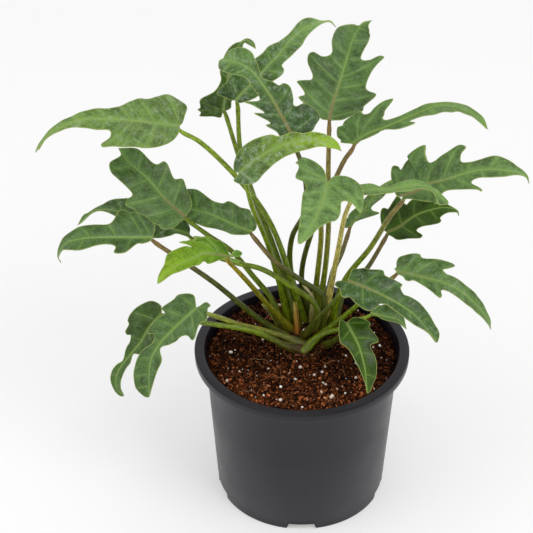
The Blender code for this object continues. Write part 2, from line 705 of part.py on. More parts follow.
def build_leaves(collection):
    """Every leaf: one stalk and one blade."""
    green = material("leaf", (0.06, 0.16, 0.05), 0.45)
    fresh = material("young_leaf", (0.3, 0.5, 0.06), 0.45)
    stem = material("stalk", (0.16, 0.26, 0.06), 0.5)
    for number, leaf in enumerate(LEAVES, 1):
        surface = fresh if number == 6 else green
        build_blade(f"blade_{number:02d}", leaf, surface, collection)
        build_stalk(f"stalk_{number:02d}", leaf, stem, collection)


def build_sheaths(collection):
    """Every dry sheath and stub."""
    dry = material("dry_sheath", (0.5, 0.36, 0.12), 0.7)
    for number, sheath in enumerate(SHEATHS, 1):
        build_sheath(f"sheath_{number:02d}", sheath, dry, collection)


def main():
    for old in list(bpy.data.objects):
        bpy.data.objects.remove(old, do_unlink=True)
    scene = bpy.context.scene
    plant = bpy.data.collections.new("potted_philodendron")
    cutters = bpy.data.collections.new("cutters")
    cutters.hide_render = True
    scene.collection.children.link(plant)
    scene.collection.children.link(cutters)
    build_pot(plant, cutters)
    build_mix(plant)
    build_crown(plant)
    build_sheaths(plant)
    build_leaves(plant)


main()
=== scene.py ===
"""Potted philodendron: the looks of the plant, its pot and its potting mix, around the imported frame.

Lengths are in millimetres until a mesh is made, which turns them to metres, as in the part's own source.
Each leaf repeats the part's figures, so that a fine blade and stalk lie where the plain solids do.
"""

import math
import random

import bmesh
import bpy
import numpy as np
from mathutils import Matrix, Vector, noise


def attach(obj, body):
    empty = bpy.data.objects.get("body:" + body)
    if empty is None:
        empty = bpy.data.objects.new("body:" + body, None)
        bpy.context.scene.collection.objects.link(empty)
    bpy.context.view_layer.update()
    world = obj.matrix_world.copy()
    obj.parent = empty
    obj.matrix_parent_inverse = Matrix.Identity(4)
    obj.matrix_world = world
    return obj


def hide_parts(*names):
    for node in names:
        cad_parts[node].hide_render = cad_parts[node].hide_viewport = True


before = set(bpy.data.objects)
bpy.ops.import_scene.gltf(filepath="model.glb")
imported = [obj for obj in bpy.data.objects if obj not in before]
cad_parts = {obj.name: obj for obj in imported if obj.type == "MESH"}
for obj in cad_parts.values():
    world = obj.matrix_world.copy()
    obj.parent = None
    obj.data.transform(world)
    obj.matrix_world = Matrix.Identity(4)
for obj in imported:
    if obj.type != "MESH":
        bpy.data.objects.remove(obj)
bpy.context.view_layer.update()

MM = 0.001
SEED = 7

# Pot, as in the part.
RIM_RADIUS = 85.0
POT_HEIGHT = 133.0
SKIRT_DROP = 7.0
NECK_RADIUS = 76.2
FOOT_RADIUS = 67.4
WALL = 1.4
FLOOR = 1.6
FOOT_STEP = 11.0
INNER_CORNER = 4.0
POT_STEPS = 192
SLOTS = 5
SLOT_HEIGHT = 5.5
SLOT_WIDE = 25.0
SLOT_NARROW = 20.0
SLOT_INNER = 52.0
SLOT_OUTER = 76.0

# Potting mix: how far its surface lies under the mix's and the crown's tops, its gap to the pot's wall low
# down, its lumps and pits, the bank round the crown, its width a share of the crown's, and the drop at the
# pot's wall, its start a share of the radius.
MIX_TOP = 128.5
BED_RADIUS = 75.2
BED_STEP = 1.0
BED_UNDER_MIX = 0.6
BED_UNDER_CROWN = 1.2
BED_GAP = 3.0
LUMP_HEIGHT, LUMP_SIZE = 3.0, 14.0
PIT_HEIGHT, PIT_SIZE = 1.2, 4.0
BANK_HEIGHT, BANK_WIDTH = 1.6, 0.25
EDGE_DROP, EDGE_START = 2.2, 0.93

# What lies on the mix. Grains: how many, how finely meshed, the least, most and usual radius, how flat they
# are at least and at most, how lumpy, and how far their middle stands above the mix.
CRUMBS = dict(count=9500, steps=1, sizes=(0.35, 2.6, 0.6), flat=(0.22, 0.75), lumpy=0.42, rise=0.1)
PERLITE = dict(count=80, steps=3, sizes=(0.5, 2.0, 0.9), flat=(0.65, 1.0), lumpy=0.07, rise=0.3)
PERLITE_DUST = dict(count=150, steps=2, sizes=(0.25, 0.6, 0.35), flat=(0.6, 1.0), lumpy=0.12, rise=0.9)
FIBRES = 35
FIBRE_SIDES = 5
FIBRE_LENGTH = (5.0, 18.0)
FIBRE_RADIUS = (0.10, 0.22)
FIBRE_RISE = (0.6, 2.0)
FIBRE_BEND = 0.05
GRAIN_TILT = 0.5

# Crown, the oval mound that the stalks stand on.
CROWN_CENTRE = (5.0, 24.0)
CROWN_RADII = (28.0, 34.0)
CROWN_HEIGHT = 4.5

# Blades: their form and mesh, how far the side veins slope and bend, and how far apart they are.
BLADE_THICK = 0.45
FOLD = 10.0
ARCH = 0.0018
VEIN_SLOPE = 0.5
VEIN_BEND = 0.3
VEIN_SPACING = 22.0
ROW_SPACING = 1.1
RIB_SPACING = 1.2
WELD = 0.02
ACROSS = (0.03, 0.07, 0.13, 0.21, 0.31, 0.42, 0.53, 0.64, 0.74, 0.83, 0.90, 0.955, 1.0)

# The relief of a blade: how high or deep each part is, and how wide.
GROOVE_DEPTH, GROOVE_WIDTH = 0.22, 1.0
PUFF_HEIGHT, PUFF_WIDTH = 0.65, 5.0
CHANNEL_DEPTH, CHANNEL_WIDTH = 0.5, 1.2
WAVE_HEIGHT, EDGE_WIDTH = 0.5, 3.5
ROLL_DROP, ROLL_WIDTH = 0.25, 1.0
RIB_WIDTH = 4.0

# Stalks: their mesh, their radii from inside the crown to the blade, the midrib that they carry on as, the
# swelling just before the blade, and the groove and ribs along them.
RING = 14
STALK_SPACING = 1.6
STALK_ROOT = 3.105
STALK_LOW = 2.3
STALK_HIGH = 1.8
STALK_NECK = 1.6
STALK_END = 1.3
ROOT_DEPTH = 4.0
NECK_LENGTH = 7.0
RIB_KNOTS = 8.0
RIB_REACH = 0.93
RIB_START = 1.15
RIB_END = 0.2
RIB_SINK = 0.65
SWELLING, SWELLING_BEFORE, SWELLING_WIDTH = 0.16, 9.0, 3.5
STALK_GROOVE, GROOVE_START = 0.14, 25.0
STALK_RIBS = 0.02

# Dry sheaths.
HUSK_SPACING = 0.8
HUSK_COLUMNS = 16
HUSK_THICK = 0.35
HUSK_TEAR = 3.0
HUSK_DEPTH = 2.0
HUSK_TURN = 135.0

# Colours, linear.
DEEP = (0.044, 0.096, 0.018)
PALE = (0.132, 0.237, 0.058)
# Dark leaf green: partly the leaves' own colour, partly painted shade for leaves that lie in the shade of
# others.
DARK = (0.030, 0.074, 0.002)
FRESH = (0.066, 0.168, 0.001)
FRESH_TIP = (0.190, 0.310, 0.012)
VEIN = (0.240, 0.345, 0.080)
MARGIN = (0.360, 0.420, 0.110)
# Silvery grey on the blades: partly the leaf's own bloom, partly painted sheen.
BLOOM_AND_SHEEN = (0.340, 0.400, 0.330)
DUST = (0.600, 0.660, 0.560)
RIB_BROWN = (0.200, 0.120, 0.060)
UNDER = (0.120, 0.200, 0.075)
STEM_GREEN = (0.130, 0.195, 0.003)
STEM_LIGHT = (0.190, 0.290, 0.010)
STEM_PALE = (0.280, 0.330, 0.055)
STEM_DARK = (0.062, 0.082, 0.008)
STEM_FOOT = (0.060, 0.075, 0.002)
STEM_BROWN = (0.195, 0.120, 0.032)
STEM_YELLOW = (0.330, 0.250, 0.010)
STEM_OLIVE = (0.150, 0.145, 0.004)
STEM_MOSS = (0.190, 0.200, 0.018)
STEM_TAN = (0.400, 0.350, 0.085)
SCURF = (0.120, 0.042, 0.008)
PEAT_STAIN = (0.035, 0.014, 0.007)
CRUMB_COLOURS = (
    (0.080, 0.021, 0.006), (0.135, 0.036, 0.010), (0.225, 0.064, 0.019), (0.320, 0.104, 0.034),
    (0.024, 0.008, 0.004), (0.010, 0.004, 0.002),
)
PERLITE_COLOURS = ((0.78, 0.70, 0.62), (0.62, 0.48, 0.38), (0.86, 0.83, 0.78), (0.72, 0.66, 0.58))
FIBRE_COLOURS = ((0.230, 0.085, 0.035), (0.130, 0.050, 0.022), (0.350, 0.190, 0.090))
PLASTIC = ((0.0062, 0.0044, 0.0086), (0.0105, 0.0082, 0.0135))
WHITE = (1.0, 1.0, 1.0, 1.0)

# Camera: how far above the horizon it stands, its distance, and where it aims.
CAMERA_LIFT = 36.1
CAMERA_DISTANCE = 1600.0
CAMERA_AIM = (-28.0, 0.0, 212.0)
CAMERA_LENS = 140.62

# Studio, in metres. A light has a place, a size and a power, and aims at the plant.
SKY = 0.85
FLOOR_GREY = (0.58, 0.58, 0.58, 1.0)
FLOOR_GLOW = 0.35
FLOOR_HALF = 8.0
LIGHT_AIM = (0.0, 0.0, 0.2)
LIGHTS = {"key": ((0.9, -0.9, 1.9), 1.0, 14.0), "fill": ((-1.4, -0.6, 1.0), 1.2, 6.0)}

# Each leaf, in the order that it is met from the top left round to the front.
# foot: where its stalk stands on the crown. stalk: points that the stalk passes through.
# midrib: points from the stalk to the tip. facing: which way the upper side looks at each end.
# right, left: the edge as (along the midrib, out from it), from the stalk round the lobes to the tip.
# fold: how far each half of the blade is folded up, in degrees, where that isn't the usual.
LEAVES = (
    dict(
        foot=(2, 35), stalk=((-25, 43, 223), (-50, 44, 264), (-79, 45, 297)),
        midrib=((-94, 45, 311), (-138, 30, 326), (-167, 24, 329), (-186, 20, 323), (-193, 19, 317),
                (-198, 19, 309)),
        facing=((-0.1, -0.35, 0.93), (-0.75, -0.3, 0.6)),
        right=((-3, 3), (-6, 10), (-9, 20), (5, 28), (21, 23), (31, 21), (49, 12), (75, 8), (106, 3),
               (117, 3), (125, 1)),
        left=((3, 9), (15, 22), (35, 30), (57, 29), (65, 30), (66, 28), (58, 18), (58, 12), (72, 11),
              (90, 4), (97, 4), (112, 1), (120, 1)),
    ),
    dict(
        foot=(-15, 26), stalk=((-23, 34, 153), (-39, 37, 176), (-56, 39, 199), (-73, 38, 214)),
        midrib=((-91, 36, 233), (-107, 46, 244), (-121, 54, 258), (-136, 60, 270), (-143, 64, 279)),
        facing=((0.3, -0.6, 0.7), (0.1, -0.6, 0.8)),
        right=((3, 11), (15, 18), (24, 21), (29, 16), (41, 20), (43, 19), (45, 13), (66, 12)),
        left=((1, 15), (7, 22), (10, 21), (25, 29), (27, 26), (39, 29), (42, 24), (41, 21), (42, 19),
              (60, 17), (65, 17), (70, 13), (70, 1)),
    ),
    dict(
        foot=(16, 26), stalk=((17, 28, 161), (-2, 24, 182), (-22, 17, 205)),
        midrib=((-40, 34, 221), (-53, 38, 224), (-67, 43, 229), (-94, 56, 230)),
        facing=((0.1, -0.6, 0.75), (0, -0.6, 0.8)),
        right=((-2, 1), (-3, 4), (0, 10), (4, 13), (7, 16), (17, 15), (27, 15), (29, 12), (36, 11),
               (55, 16), (64, 12)),
        left=((1, 3), (13, 8), (17, 8), (35, 12), (55, 7)),
    ),
    dict(
        foot=(10, 21),
        stalk=((12, 24, 154), (-10, 20, 179), (-32, 20, 195), (-51, 25, 197), (-71, 35, 198)),
        midrib=((-89, 50, 207), (-116, 58, 212), (-144, 67, 217), (-163, 72, 215), (-180, 74, 199)),
        facing=((0, -0.5, 0.85), (-0.3, -0.5, 0.8)),
        right=((1, 5), (9, 12), (33, 17), (68, 8), (74, 4), (86, 2), (92, 3)),
        left=((-1, 2), (10, 3), (13, 6), (25, 13), (77, 1), (97, 1)),
    ),
    dict(
        foot=(-14, 18), stalk=((-32, 16, 147), (-68, 0, 196), (-94, -11, 227)),
        midrib=((-113, -19, 253), (-167, -31, 260), (-178, -32, 256), (-184, -32, 244), (-182, -32, 238)),
        facing=((0, -0.4, 0.9), (-0.7, -0.3, 0.6)),
        right=((-2, 10), (12, 22), (16, 21), (19, 23), (24, 22), (30, 13), (33, 11), (50, 11), (66, 6),
               (75, 4), (79, 2)),
        left=((2, 3), (9, 6), (12, 6), (24, 15), (32, 15), (30, 9), (37, 7), (58, 11), (66, 8), (71, 4)),
    ),
    dict(
        foot=(-8, 23), stalk=((-25, 13, 163), (-45, -4, 204)),
        midrib=((-56, -22, 237), (-61, -24, 240), (-76, -28, 244), (-81, -31, 243), (-100, -38, 237),
                (-110, -44, 228)),
        facing=((0, -0.45, 0.9), (-0.4, -0.4, 0.8)),
        right=((-6, 7), (-12, 6), (-10, 3), (-1, 2), (6, 11), (11, 12), (19, 14), (21, 13), (23, 16),
               (23, 12), (25, 15), (35, 17), (27, 11), (26, 9), (31, 12), (45, 12), (51, 6), (60, 3)),
        left=((-1, 3), (-4, 4), (-11, 1), (0, 1), (18, 9), (24, 9), (26, 7), (29, 8), (32, 7), (37, 7),
              (59, 3)),
    ),
    dict(
        foot=(-4, 0),
        stalk=((-15, -3, 138), (-32, -5, 150), (-49, -9, 159), (-75, -9, 164), (-95, -7, 166)),
        midrib=((-110, -4, 170), (-121, -7, 156), (-126, -9, 147), (-146, -13, 117), (-147, -14, 102),
                (-141, -15, 95)),
        facing=((-0.3, -0.65, 0.7), (-0.45, -0.75, 0.45)),
        right=((-4, 4), (-1, 13), (17, 19), (22, 18), (23, 16), (33, 15), (34, 12), (32, 10), (36, 7),
               (42, 6), (53, 2), (59, 4), (69, 5), (80, 3), (88, 2)),
        left=((0, 4), (5, 8), (24, 10), (37, 7), (42, 2), (49, 5), (55, 5), (78, 5)),
    ),
    dict(
        foot=(-1, 5), stalk=((-13, 5, 139), (-32, 3, 148), (-49, -2, 157), (-64, -10, 170)),
        midrib=((-82, -21, 188), (-95, -26, 177), (-111, -31, 160), (-118, -34, 145), (-120, -36, 111)),
        facing=((-0.25, -0.65, 0.72), (-0.4, -0.8, 0.4)),
        right=((-5, 9), (4, 17), (9, 17), (21, 18), (21, 14), (30, 15), (40, 14), (41, 12), (38, 8),
               (43, 5), (52, 9), (76, 13), (89, 9), (93, 3)),
        left=((-9, 2), (-10, 7), (-7, 7), (0, 14), (4, 12), (15, 18), (18, 18), (19, 12), (24, 9), (29, 9),
              (35, 7), (43, 3), (51, 9)),
    ),
    dict(
        foot=(-7, 40), stalk=((-15, 48, 159), (-27, 56, 199), (-39, 65, 234), (-50, 75, 265)),
        midrib=((-62, 88, 297), (-59, 94, 318), (-53, 104, 340), (-46, 104, 351), (-42, 103, 352),
                (-36, 100, 346)),
        facing=((-0.1, -0.75, 0.6), (-0.1, -0.8, 0.6)),
        right=((4, 6), (9, 6), (18, 9), (49, 7), (60, 2), (65, 3)),
        left=((-5, 1), (-5, 7), (-6, 18), (-3, 17), (-1, 20), (1, 18), (7, 19), (16, 8), (25, 5), (31, 7),
              (47, 6), (55, 3), (58, 1), (69, 2)),
    ),
    dict(
        foot=(-3, 29), stalk=((-12, 40, 165), (-24, 46, 204), (-38, 54, 241), (-48, 63, 276)),
        midrib=((-52, 72, 317), (-16, 95, 348), (-10, 99, 355), (2, 105, 362), (20, 110, 365),
                (26, 111, 359)),
        facing=((0.1, -0.6, 0.8), (0.3, -0.6, 0.75)),
        right=((0, 3), (14, 11), (26, 8), (30, 11), (40, 13), (43, 11), (44, 8), (66, 10), (72, 8),
               (94, 1)),
        left=((-3, 4), (-4, 8), (-6, 14), (6, 15), (12, 16), (41, 10), (48, 10), (64, 4), (79, 7), (84, 6),
              (92, 1), (99, 1)),
    ),
    dict(
        foot=(0, 42), stalk=((-9, 49, 175), (-8, 44, 208), (2, 33, 242), (0, 22, 286)),
        midrib=((-10, 10, 327), (-16, 17, 336), (-27, 32, 349), (-40, 47, 359), (-54, 57, 361),
                (-64, 63, 358)),
        facing=((0.2, -0.6, 0.75), (-0.4, -0.5, 0.75)),
        right=((-3, 4), (-6, 15), (-3, 20), (0, 25), (4, 26), (15, 20), (16, 13), (18, 12), (22, 14),
               (31, 16), (35, 13), (35, 10), (41, 7), (47, 3), (59, 8), (65, 12), (73, 12), (80, 7),
               (82, 3)),
        left=((1, 9), (5, 10), (13, 15), (13, 11), (25, 18), (22, 11), (32, 16), (38, 20), (33, 9), (48, 8),
              (55, 7), (66, 10), (80, 10), (85, 7)),
    ),
    dict(
        foot=(-10, 33), stalk=((-17, 34, 166), (-27, 30, 211), (-39, 4, 265)),
        midrib=((-48, -25, 315), (-35, -29, 330), (-17, -33, 344), (4, -37, 351), (21, -40, 348),
                (26, -40, 343)),
        facing=((-0.1, -0.75, 0.65), (0.1, -0.75, 0.65)),
        right=((-8, 2), (1, 11), (9, 14), (36, 10), (64, 7), (74, 4), (82, 3)),
        left=((-3, 2), (-1, 6), (15, 13), (39, 10), (43, 7), (55, 7), (60, 5), (67, 6), (79, 5)),
    ),
    dict(
        foot=(13, 49), stalk=((18, 55, 159), (21, 58, 205), (20, 59, 262)),
        midrib=((20, 60, 307), (22, 70, 312), (28, 89, 321), (34, 109, 331), (40, 125, 342), (46, 131, 350),
                (54, 131, 354)),
        facing=((0, -0.65, 0.75), (0.2, -0.8, 0.5)),
        right=((2, 11), (14, 24), (20, 24), (33, 30), (34, 24), (36, 21), (54, 22), (70, 28), (70, 25),
               (62, 17), (61, 11), (80, 12), (93, 8), (94, 3)),
        left=((-1, 6), (3, 10), (2, 16), (8, 20), (11, 27), (14, 23), (19, 28), (22, 32), (28, 22),
              (32, 22), (41, 29), (49, 30), (52, 27), (51, 19), (57, 13), (68, 16), (78, 15), (85, 6),
              (87, 1), (91, 1)),
    ),
    dict(
        foot=(9, 41), stalk=((12, 37, 172), (14, 17, 225), (13, -6, 274)),
        midrib=((17, -20, 304), (15, -30, 299), (8, -50, 293), (2, -62, 289), (-4, -73, 285)),
        facing=((0, -0.45, 0.9), (-0.2, -0.8, 0.6)),
        right=((-11, 6), (-16, 22), (-13, 24), (-10, 26), (-9, 24), (-6, 23), (2, 24), (5, 17), (11, 15),
               (17, 16), (60, 2)),
        left=((-5, 4), (-5, 16), (3, 26), (21, 30), (15, 21), (15, 14), (26, 16), (32, 15), (35, 11),
              (40, 7), (54, 3)),
    ),
    dict(
        foot=(4, 48), stalk=((0, 52, 166), (7, 51, 206), (22, 49, 251), (32, 46, 280)),
        midrib=((37, 42, 297), (48, 44, 304), (67, 47, 311), (82, 50, 317), (104, 52, 325), (125, 51, 320),
                (141, 48, 306)),
        facing=((0, -0.3, 0.95), (0.4, -0.3, 0.85)), fold=25,
        right=((1, 2), (7, 3), (14, 5), (23, 4), (25, 2), (36, 8), (48, 12), (51, 11), (47, 6), (59, 7),
               (69, 11), (80, 11), (88, 6), (97, 5)),
        left=((-7, 6), (-6, 7), (-7, 11), (-3, 17), (1, 16), (4, 18), (16, 19), (17, 16), (21, 15),
              (25, 17), (37, 20), (43, 18), (33, 12), (31, 9), (29, 7), (31, 5), (64, 4), (73, 3),
              (108, 4)),
    ),
    dict(
        foot=(24, 32), stalk=((33, 31, 174), (53, 23, 214), (67, 17, 248)),
        midrib=((75, 14, 268), (89, 13, 275), (95, 13, 280), (103, 12, 283), (132, 9, 295), (152, 5, 297),
                (166, 3, 293), (169, 2, 287)),
        facing=((0, -0.4, 0.9), (0.4, -0.4, 0.8)),
        right=((-1, 4), (3, 4), (13, 10), (28, 21), (31, 18), (32, 13), (35, 11), (60, 18), (65, 21),
               (66, 20), (56, 10), (57, 8), (76, 8), (96, 1)),
        left=((-4, 1), (-5, 20), (-2, 27), (2, 25), (3, 22), (8, 26), (20, 29), (25, 33), (25, 24),
              (26, 17), (29, 18), (42, 21), (52, 24), (56, 21), (52, 16), (51, 10), (57, 8), (77, 11),
              (99, 2)),
    ),
    dict(
        foot=(18, 36), stalk=((23, 27, 174), (27, 9, 221), (31, -8, 266)),
        midrib=((34, -16, 292), (52, -16, 294), (63, -16, 294), (84, -17, 299), (96, -19, 295),
                (100, -21, 291), (107, -23, 286)),
        facing=((0, -0.15, 1), (0.5, -0.2, 0.8)),
        right=((2, 7), (8, 6), (16, 6), (31, 4), (43, 6), (61, 3), (66, 5), (69, 6), (70, 10)),
        left=((2, 5), (14, 6), (25, 3), (36, 5), (57, 4), (62, 2), (66, 3), (77, 2)),
    ),
    dict(
        foot=(27, 39), stalk=((36, 52, 152), (51, 60, 163)),
        midrib=((68, 70, 195), (76, 70, 199), (92, 69, 213), (111, 67, 221), (119, 66, 221), (124, 66, 218),
                (125, 65, 214)),
        facing=((0.1, -0.65, 0.75), (0.5, -0.5, 0.7)),
        right=((0, 2), (3, 5), (6, 9), (12, 12), (23, 18), (26, 17), (23, 11), (48, 13), (50, 11), (49, 9)),
        left=((-2, 3), (3, 19), (12, 17), (22, 20), (25, 21), (27, 11), (29, 12), (34, 13), (42, 11),
              (57, 2)),
    ),
    dict(
        foot=(20, 45), stalk=((26, 68, 157), (33, 79, 168)),
        midrib=((39, 92, 184), (53, 101, 199), (67, 109, 213), (80, 114, 220)),
        facing=((0.2, -0.5, 0.85), (0.3, -0.5, 0.8)),
        right=((2, 1), (6, 1), (25, 12), (23, 6), (24, 4), (36, 6), (42, 6), (49, 7)),
        left=((-2, 2), (-1, 6), (2, 7), (5, 6), (9, 7), (20, 5), (28, 5), (43, 2)),
    ),
    dict(
        foot=(9, 8), stalk=((19, 15, 138), (34, 14, 154), (54, 7, 181)),
        midrib=((72, 0, 208), (109, -11, 204), (124, -15, 197), (143, -20, 176), (146, -21, 167)),
        facing=((0.1, -0.45, 0.9), (0.6, -0.4, 0.7)),
        right=((0, 2), (6, 4), (9, 7), (12, 7), (15, 5), (39, 15), (40, 13), (38, 8), (43, 6), (57, 8),
               (76, 5), (85, 4)),
        left=((-2, 1), (-1, 3), (-2, 7), (-1, 12), (14, 18), (16, 16), (30, 18), (41, 17), (37, 12),
              (34, 10), (37, 8), (42, 8), (75, 5)),
    ),
    dict(
        foot=(2, 14), stalk=((10, 4, 155), (22, -15, 187)),
        midrib=((33, -33, 223), (51, -41, 220), (70, -49, 214), (84, -55, 206), (101, -61, 185)),
        facing=((0.1, -0.5, 0.85), (0.5, -0.5, 0.7)),
        right=((-4, 2), (-7, 4), (-7, 8), (-2, 10), (2, 15), (5, 15), (7, 13), (13, 16), (22, 19), (26, 18),
               (30, 12), (30, 9), (35, 6), (40, 7), (57, 8), (77, 1), (84, 1)),
        left=((0, 10), (4, 12), (7, 14), (12, 15), (21, 18), (24, 15), (38, 15), (38, 12), (42, 9),
              (47, 10), (82, 6)),
    ),
    dict(
        foot=(3, -1), stalk=((14, 6, 140), (30, 2, 150), (44, -1, 161)),
        midrib=((53, -2, 169), (64, -4, 167), (75, -6, 165), (82, -8, 157)),
        facing=((0.1, -0.4, 0.9), (0.5, -0.4, 0.75)),
        right=((1, 1), (5, 1), (9, 3), (20, 4)),
        left=((1, 3), (9, 10), (17, 9), (22, 6)),
    ),
    dict(
        foot=(19, 5), stalk=((25, -6, 144), (31, -22, 165)),
        midrib=((33, -34, 184), (42, -48, 173), (45, -55, 166), (47, -61, 159), (49, -68, 141)),
        facing=((0.1, -0.5, 0.85), (0.5, -0.8, 0.3)),
        right=((-4, 3), (13, 13), (18, 10), (32, 7), (51, 1)),
        left=((-1, 8), (9, 16), (11, 14), (22, 16), (23, 9), (31, 10), (47, 8), (58, 2)),
    ),
)

# Dry leaf sheaths and cut stubs: where each stands, the points that it passes through, its two radii, and
# its colours at the foot and the tip.
SHEATHS = (
    dict(
        foot=(-17, 33), path=((-24, 38, 139), (-31, 38, 148)), radii=(2.6, 1.7),
        colours=((0.24, 0.27, 0.03), (0.56, 0.54, 0.19)),
    ),
    dict(
        foot=(-3, 19), path=((-4, 25, 145), (-5, 26, 158)), radii=(2.6, 1.6),
        colours=((0.29, 0.10, 0.003), (0.58, 0.44, 0.09)),
    ),
    dict(
        foot=(8, 32), path=((9, 35, 151), (8, 35, 159), (1, 35, 169)), radii=(2.4, 1.2),
        colours=((0.22, 0.20, 0.03), (0.85, 0.76, 0.42)),
    ),
)


def green(share):
    """A leaf green: deep at 0, pale at 1."""
    return tuple(low + (high - low) * share for low, high in zip(DEEP, PALE))


# What sets a leaf apart: its colour at the stalk and at the tip, how silvery it is, partly as painted
# sheen, how brown its midrib starts, its stalk's colours at the foot, the middle and the blade, how much
# the stalk's foot flares, and how far up, in millimetres.
PLAIN = dict(
    near=green(0.25), far=green(0.25), silver_sheen=0.2, stain=0.0, stalk=(STEM_FOOT, STEM_GREEN, STEM_GREEN),
    flare=0.4, flare_reach=17.0,
)
BROWNISH = (STEM_FOOT, STEM_DARK, STEM_BROWN)
BROWN_NECK = (STEM_GREEN, STEM_GREEN, STEM_BROWN)
DUSKY = (STEM_GREEN, STEM_DARK, STEM_DARK)
BRIGHT = (STEM_GREEN, STEM_GREEN, STEM_LIGHT)
LOOKS = {
    1: dict(near=(0.118, 0.205, 0.040), far=(0.130, 0.228, 0.040), silver_sheen=0.5, stalk=BRIGHT),
    2: dict(near=green(0.35), far=green(0.5), stain=0.8),
    3: dict(near=green(0.35), far=green(0.4), silver_sheen=0.35, stalk=BROWNISH),
    4: dict(near=green(0.0), far=green(0.15), silver_sheen=0.5, flare=0.6),
    5: dict(near=green(0.1), far=green(0.25), stalk=BROWNISH),
    6: dict(near=FRESH, far=FRESH_TIP, silver_sheen=0.0, stain=0.5, stalk=(STEM_OLIVE, STEM_OLIVE, STEM_YELLOW)),
    7: dict(near=DARK, far=green(0.15), stalk=(PEAT_STAIN, STEM_GREEN, STEM_PALE), flare=0.7),
    8: dict(near=green(0.25), far=green(0.15), stalk=(STEM_FOOT, STEM_MOSS, STEM_PALE), flare=0.7),
    9: dict(near=DARK, far=green(0.15), silver_sheen=0.4),
    10: dict(near=green(-0.1), far=green(1.1), silver_sheen=0.6),
    11: dict(near=green(-0.2), far=green(0.6), silver_sheen=0.55, stain=0.8, stalk=DUSKY),
    12: dict(near=green(0.3), far=FRESH_TIP, silver_sheen=0.9, stalk=BRIGHT),
    13: dict(near=green(0.3), far=green(0.3), stain=0.8, stalk=(STEM_GREEN, STEM_MOSS, STEM_BROWN)),
    14: dict(near=green(0.95), far=green(0.85), stalk=(STEM_GREEN, STEM_MOSS, STEM_MOSS)),
    15: dict(near=green(0.3), far=green(0.8), stalk=BROWNISH),
    16: dict(near=green(0.2), far=green(0.7), stain=0.8, stalk=BROWN_NECK),
    17: dict(near=green(1.0), far=green(0.7), stalk=(STEM_TAN,) * 3, flare=0.6, flare_reach=40.0),
    18: dict(near=DARK, far=DARK, silver_sheen=0.0, stain=0.5, stalk=BROWNISH),
    19: dict(near=green(0.3), far=green(0.6), silver_sheen=0.5, stalk=BROWNISH),
    20: dict(near=green(0.45), far=green(0.6), silver_sheen=0.35, stain=0.3, stalk=BROWN_NECK),
    21: dict(
        near=green(-0.05), far=green(0.1), silver_sheen=0.4, stain=0.6, stalk=(STEM_FOOT, STEM_DARK, STEM_GREEN),
    ),
    22: dict(near=green(0.1), far=green(0.3), stalk=BRIGHT),
    23: dict(near=DARK, far=DARK, silver_sheen=0.0, stalk=BROWNISH),
}
BLADE_SLOTS = {1: "pale_leaf", 6: "young_leaf", 12: "pale_leaf"}
YELLOW_STALKS = (6, 17)


def blend(a, b, share):
    """From a at 0 to b at 1."""
    return a * (1.0 - share) + b * share


def bell(value):
    """1 at 0, falling smoothly to about a third at 1 and to nothing past 2."""
    return np.exp(-(value**2))


def smooth_line(points, spacing):
    """A smooth line through points with a stop about every spacing, and the number of each point's stop."""
    points = [Vector(p) for p in points]
    padded = [2 * points[0] - points[1], *points, 2 * points[-1] - points[-2]]
    line, stops = [], []
    for before, start, end, after in zip(padded, padded[1:], padded[2:], padded[3:]):
        one, two, three = ((b - a).length ** 0.5 for a, b in ((before, start), (start, end), (end, after)))
        leave = (start - before) * two / one - (end - before) * two / (one + two) + (end - start)
        arrive = (end - start) - (after - start) * two / (two + three) + (after - end) * two / three
        stops.append(len(line))
        steps = max(2, round((end - start).length / spacing))
        for step in range(steps):
            t = step / steps
            from_start = (2 * t**3 - 3 * t**2 + 1) * start + (t**3 - 2 * t**2 + t) * leave
            line.append(from_start + (3 * t**2 - 2 * t**3) * end + (t**3 - t**2) * arrive)
    stops.append(len(line))
    return [*line, points[-1]], stops


def marks_along(line):
    """How far along a line each of its points lies."""
    return np.concatenate(([0.0], np.cumsum([(b - a).length for a, b in zip(line, line[1:])])))


def heading(line, index):
    """Which way a line runs at this point."""
    return (line[min(index + 1, len(line) - 1)] - line[max(index - 1, 0)]).normalized()


class Spine:
    """The midrib as a curve in space, with the blade's surface measured along it and out from it."""

    def __init__(self, leaf):
        self.line, _ = smooth_line(leaf["midrib"], 1.0)
        self.facing = [Vector(f).normalized() for f in leaf["facing"]]
        self.fold = math.radians(leaf.get("fold", FOLD))
        self.marks = marks_along(self.line)
        self.length = float(self.marks[-1])

    def within(self, along):
        """The nearest place that is on the midrib."""
        return min(max(along, 0.0), self.length)

    def point(self, along):
        """The point of the midrib this far from the stalk."""
        along = self.within(along)
        index = min(int(np.searchsorted(self.marks, along, "right")) - 1, len(self.marks) - 2)
        share = (along - self.marks[index]) / (self.marks[index + 1] - self.marks[index])
        return self.line[index].lerp(self.line[index + 1], share)

    def frame(self, along):
        """Which way the midrib runs here, the blade's upper side and its right side."""
        along = self.within(along)
        forward = (self.point(along + 2.0) - self.point(along - 2.0)).normalized()
        facing = self.facing[0].lerp(self.facing[1], along / self.length)
        upper = (facing - forward * facing.dot(forward)).normalized()
        return forward, upper, forward.cross(upper)

    def at(self, along, out, lift=0.0):
        """The blade's point here, raised by lift. The blade is folded at the midrib and arches down."""
        forward, upper, right = self.frame(along)
        start = self.point(along) + forward * (along - self.within(along))
        rise = abs(out) * math.sin(self.fold) - ARCH * out * out + lift
        return start + right * out * math.cos(self.fold) + upper * rise


def channel_depth(share):
    """How deep the channel over the midrib is, from the stalk at 0 to the tip at 1."""
    return CHANNEL_DEPTH * (1.0 - 0.6 * share)


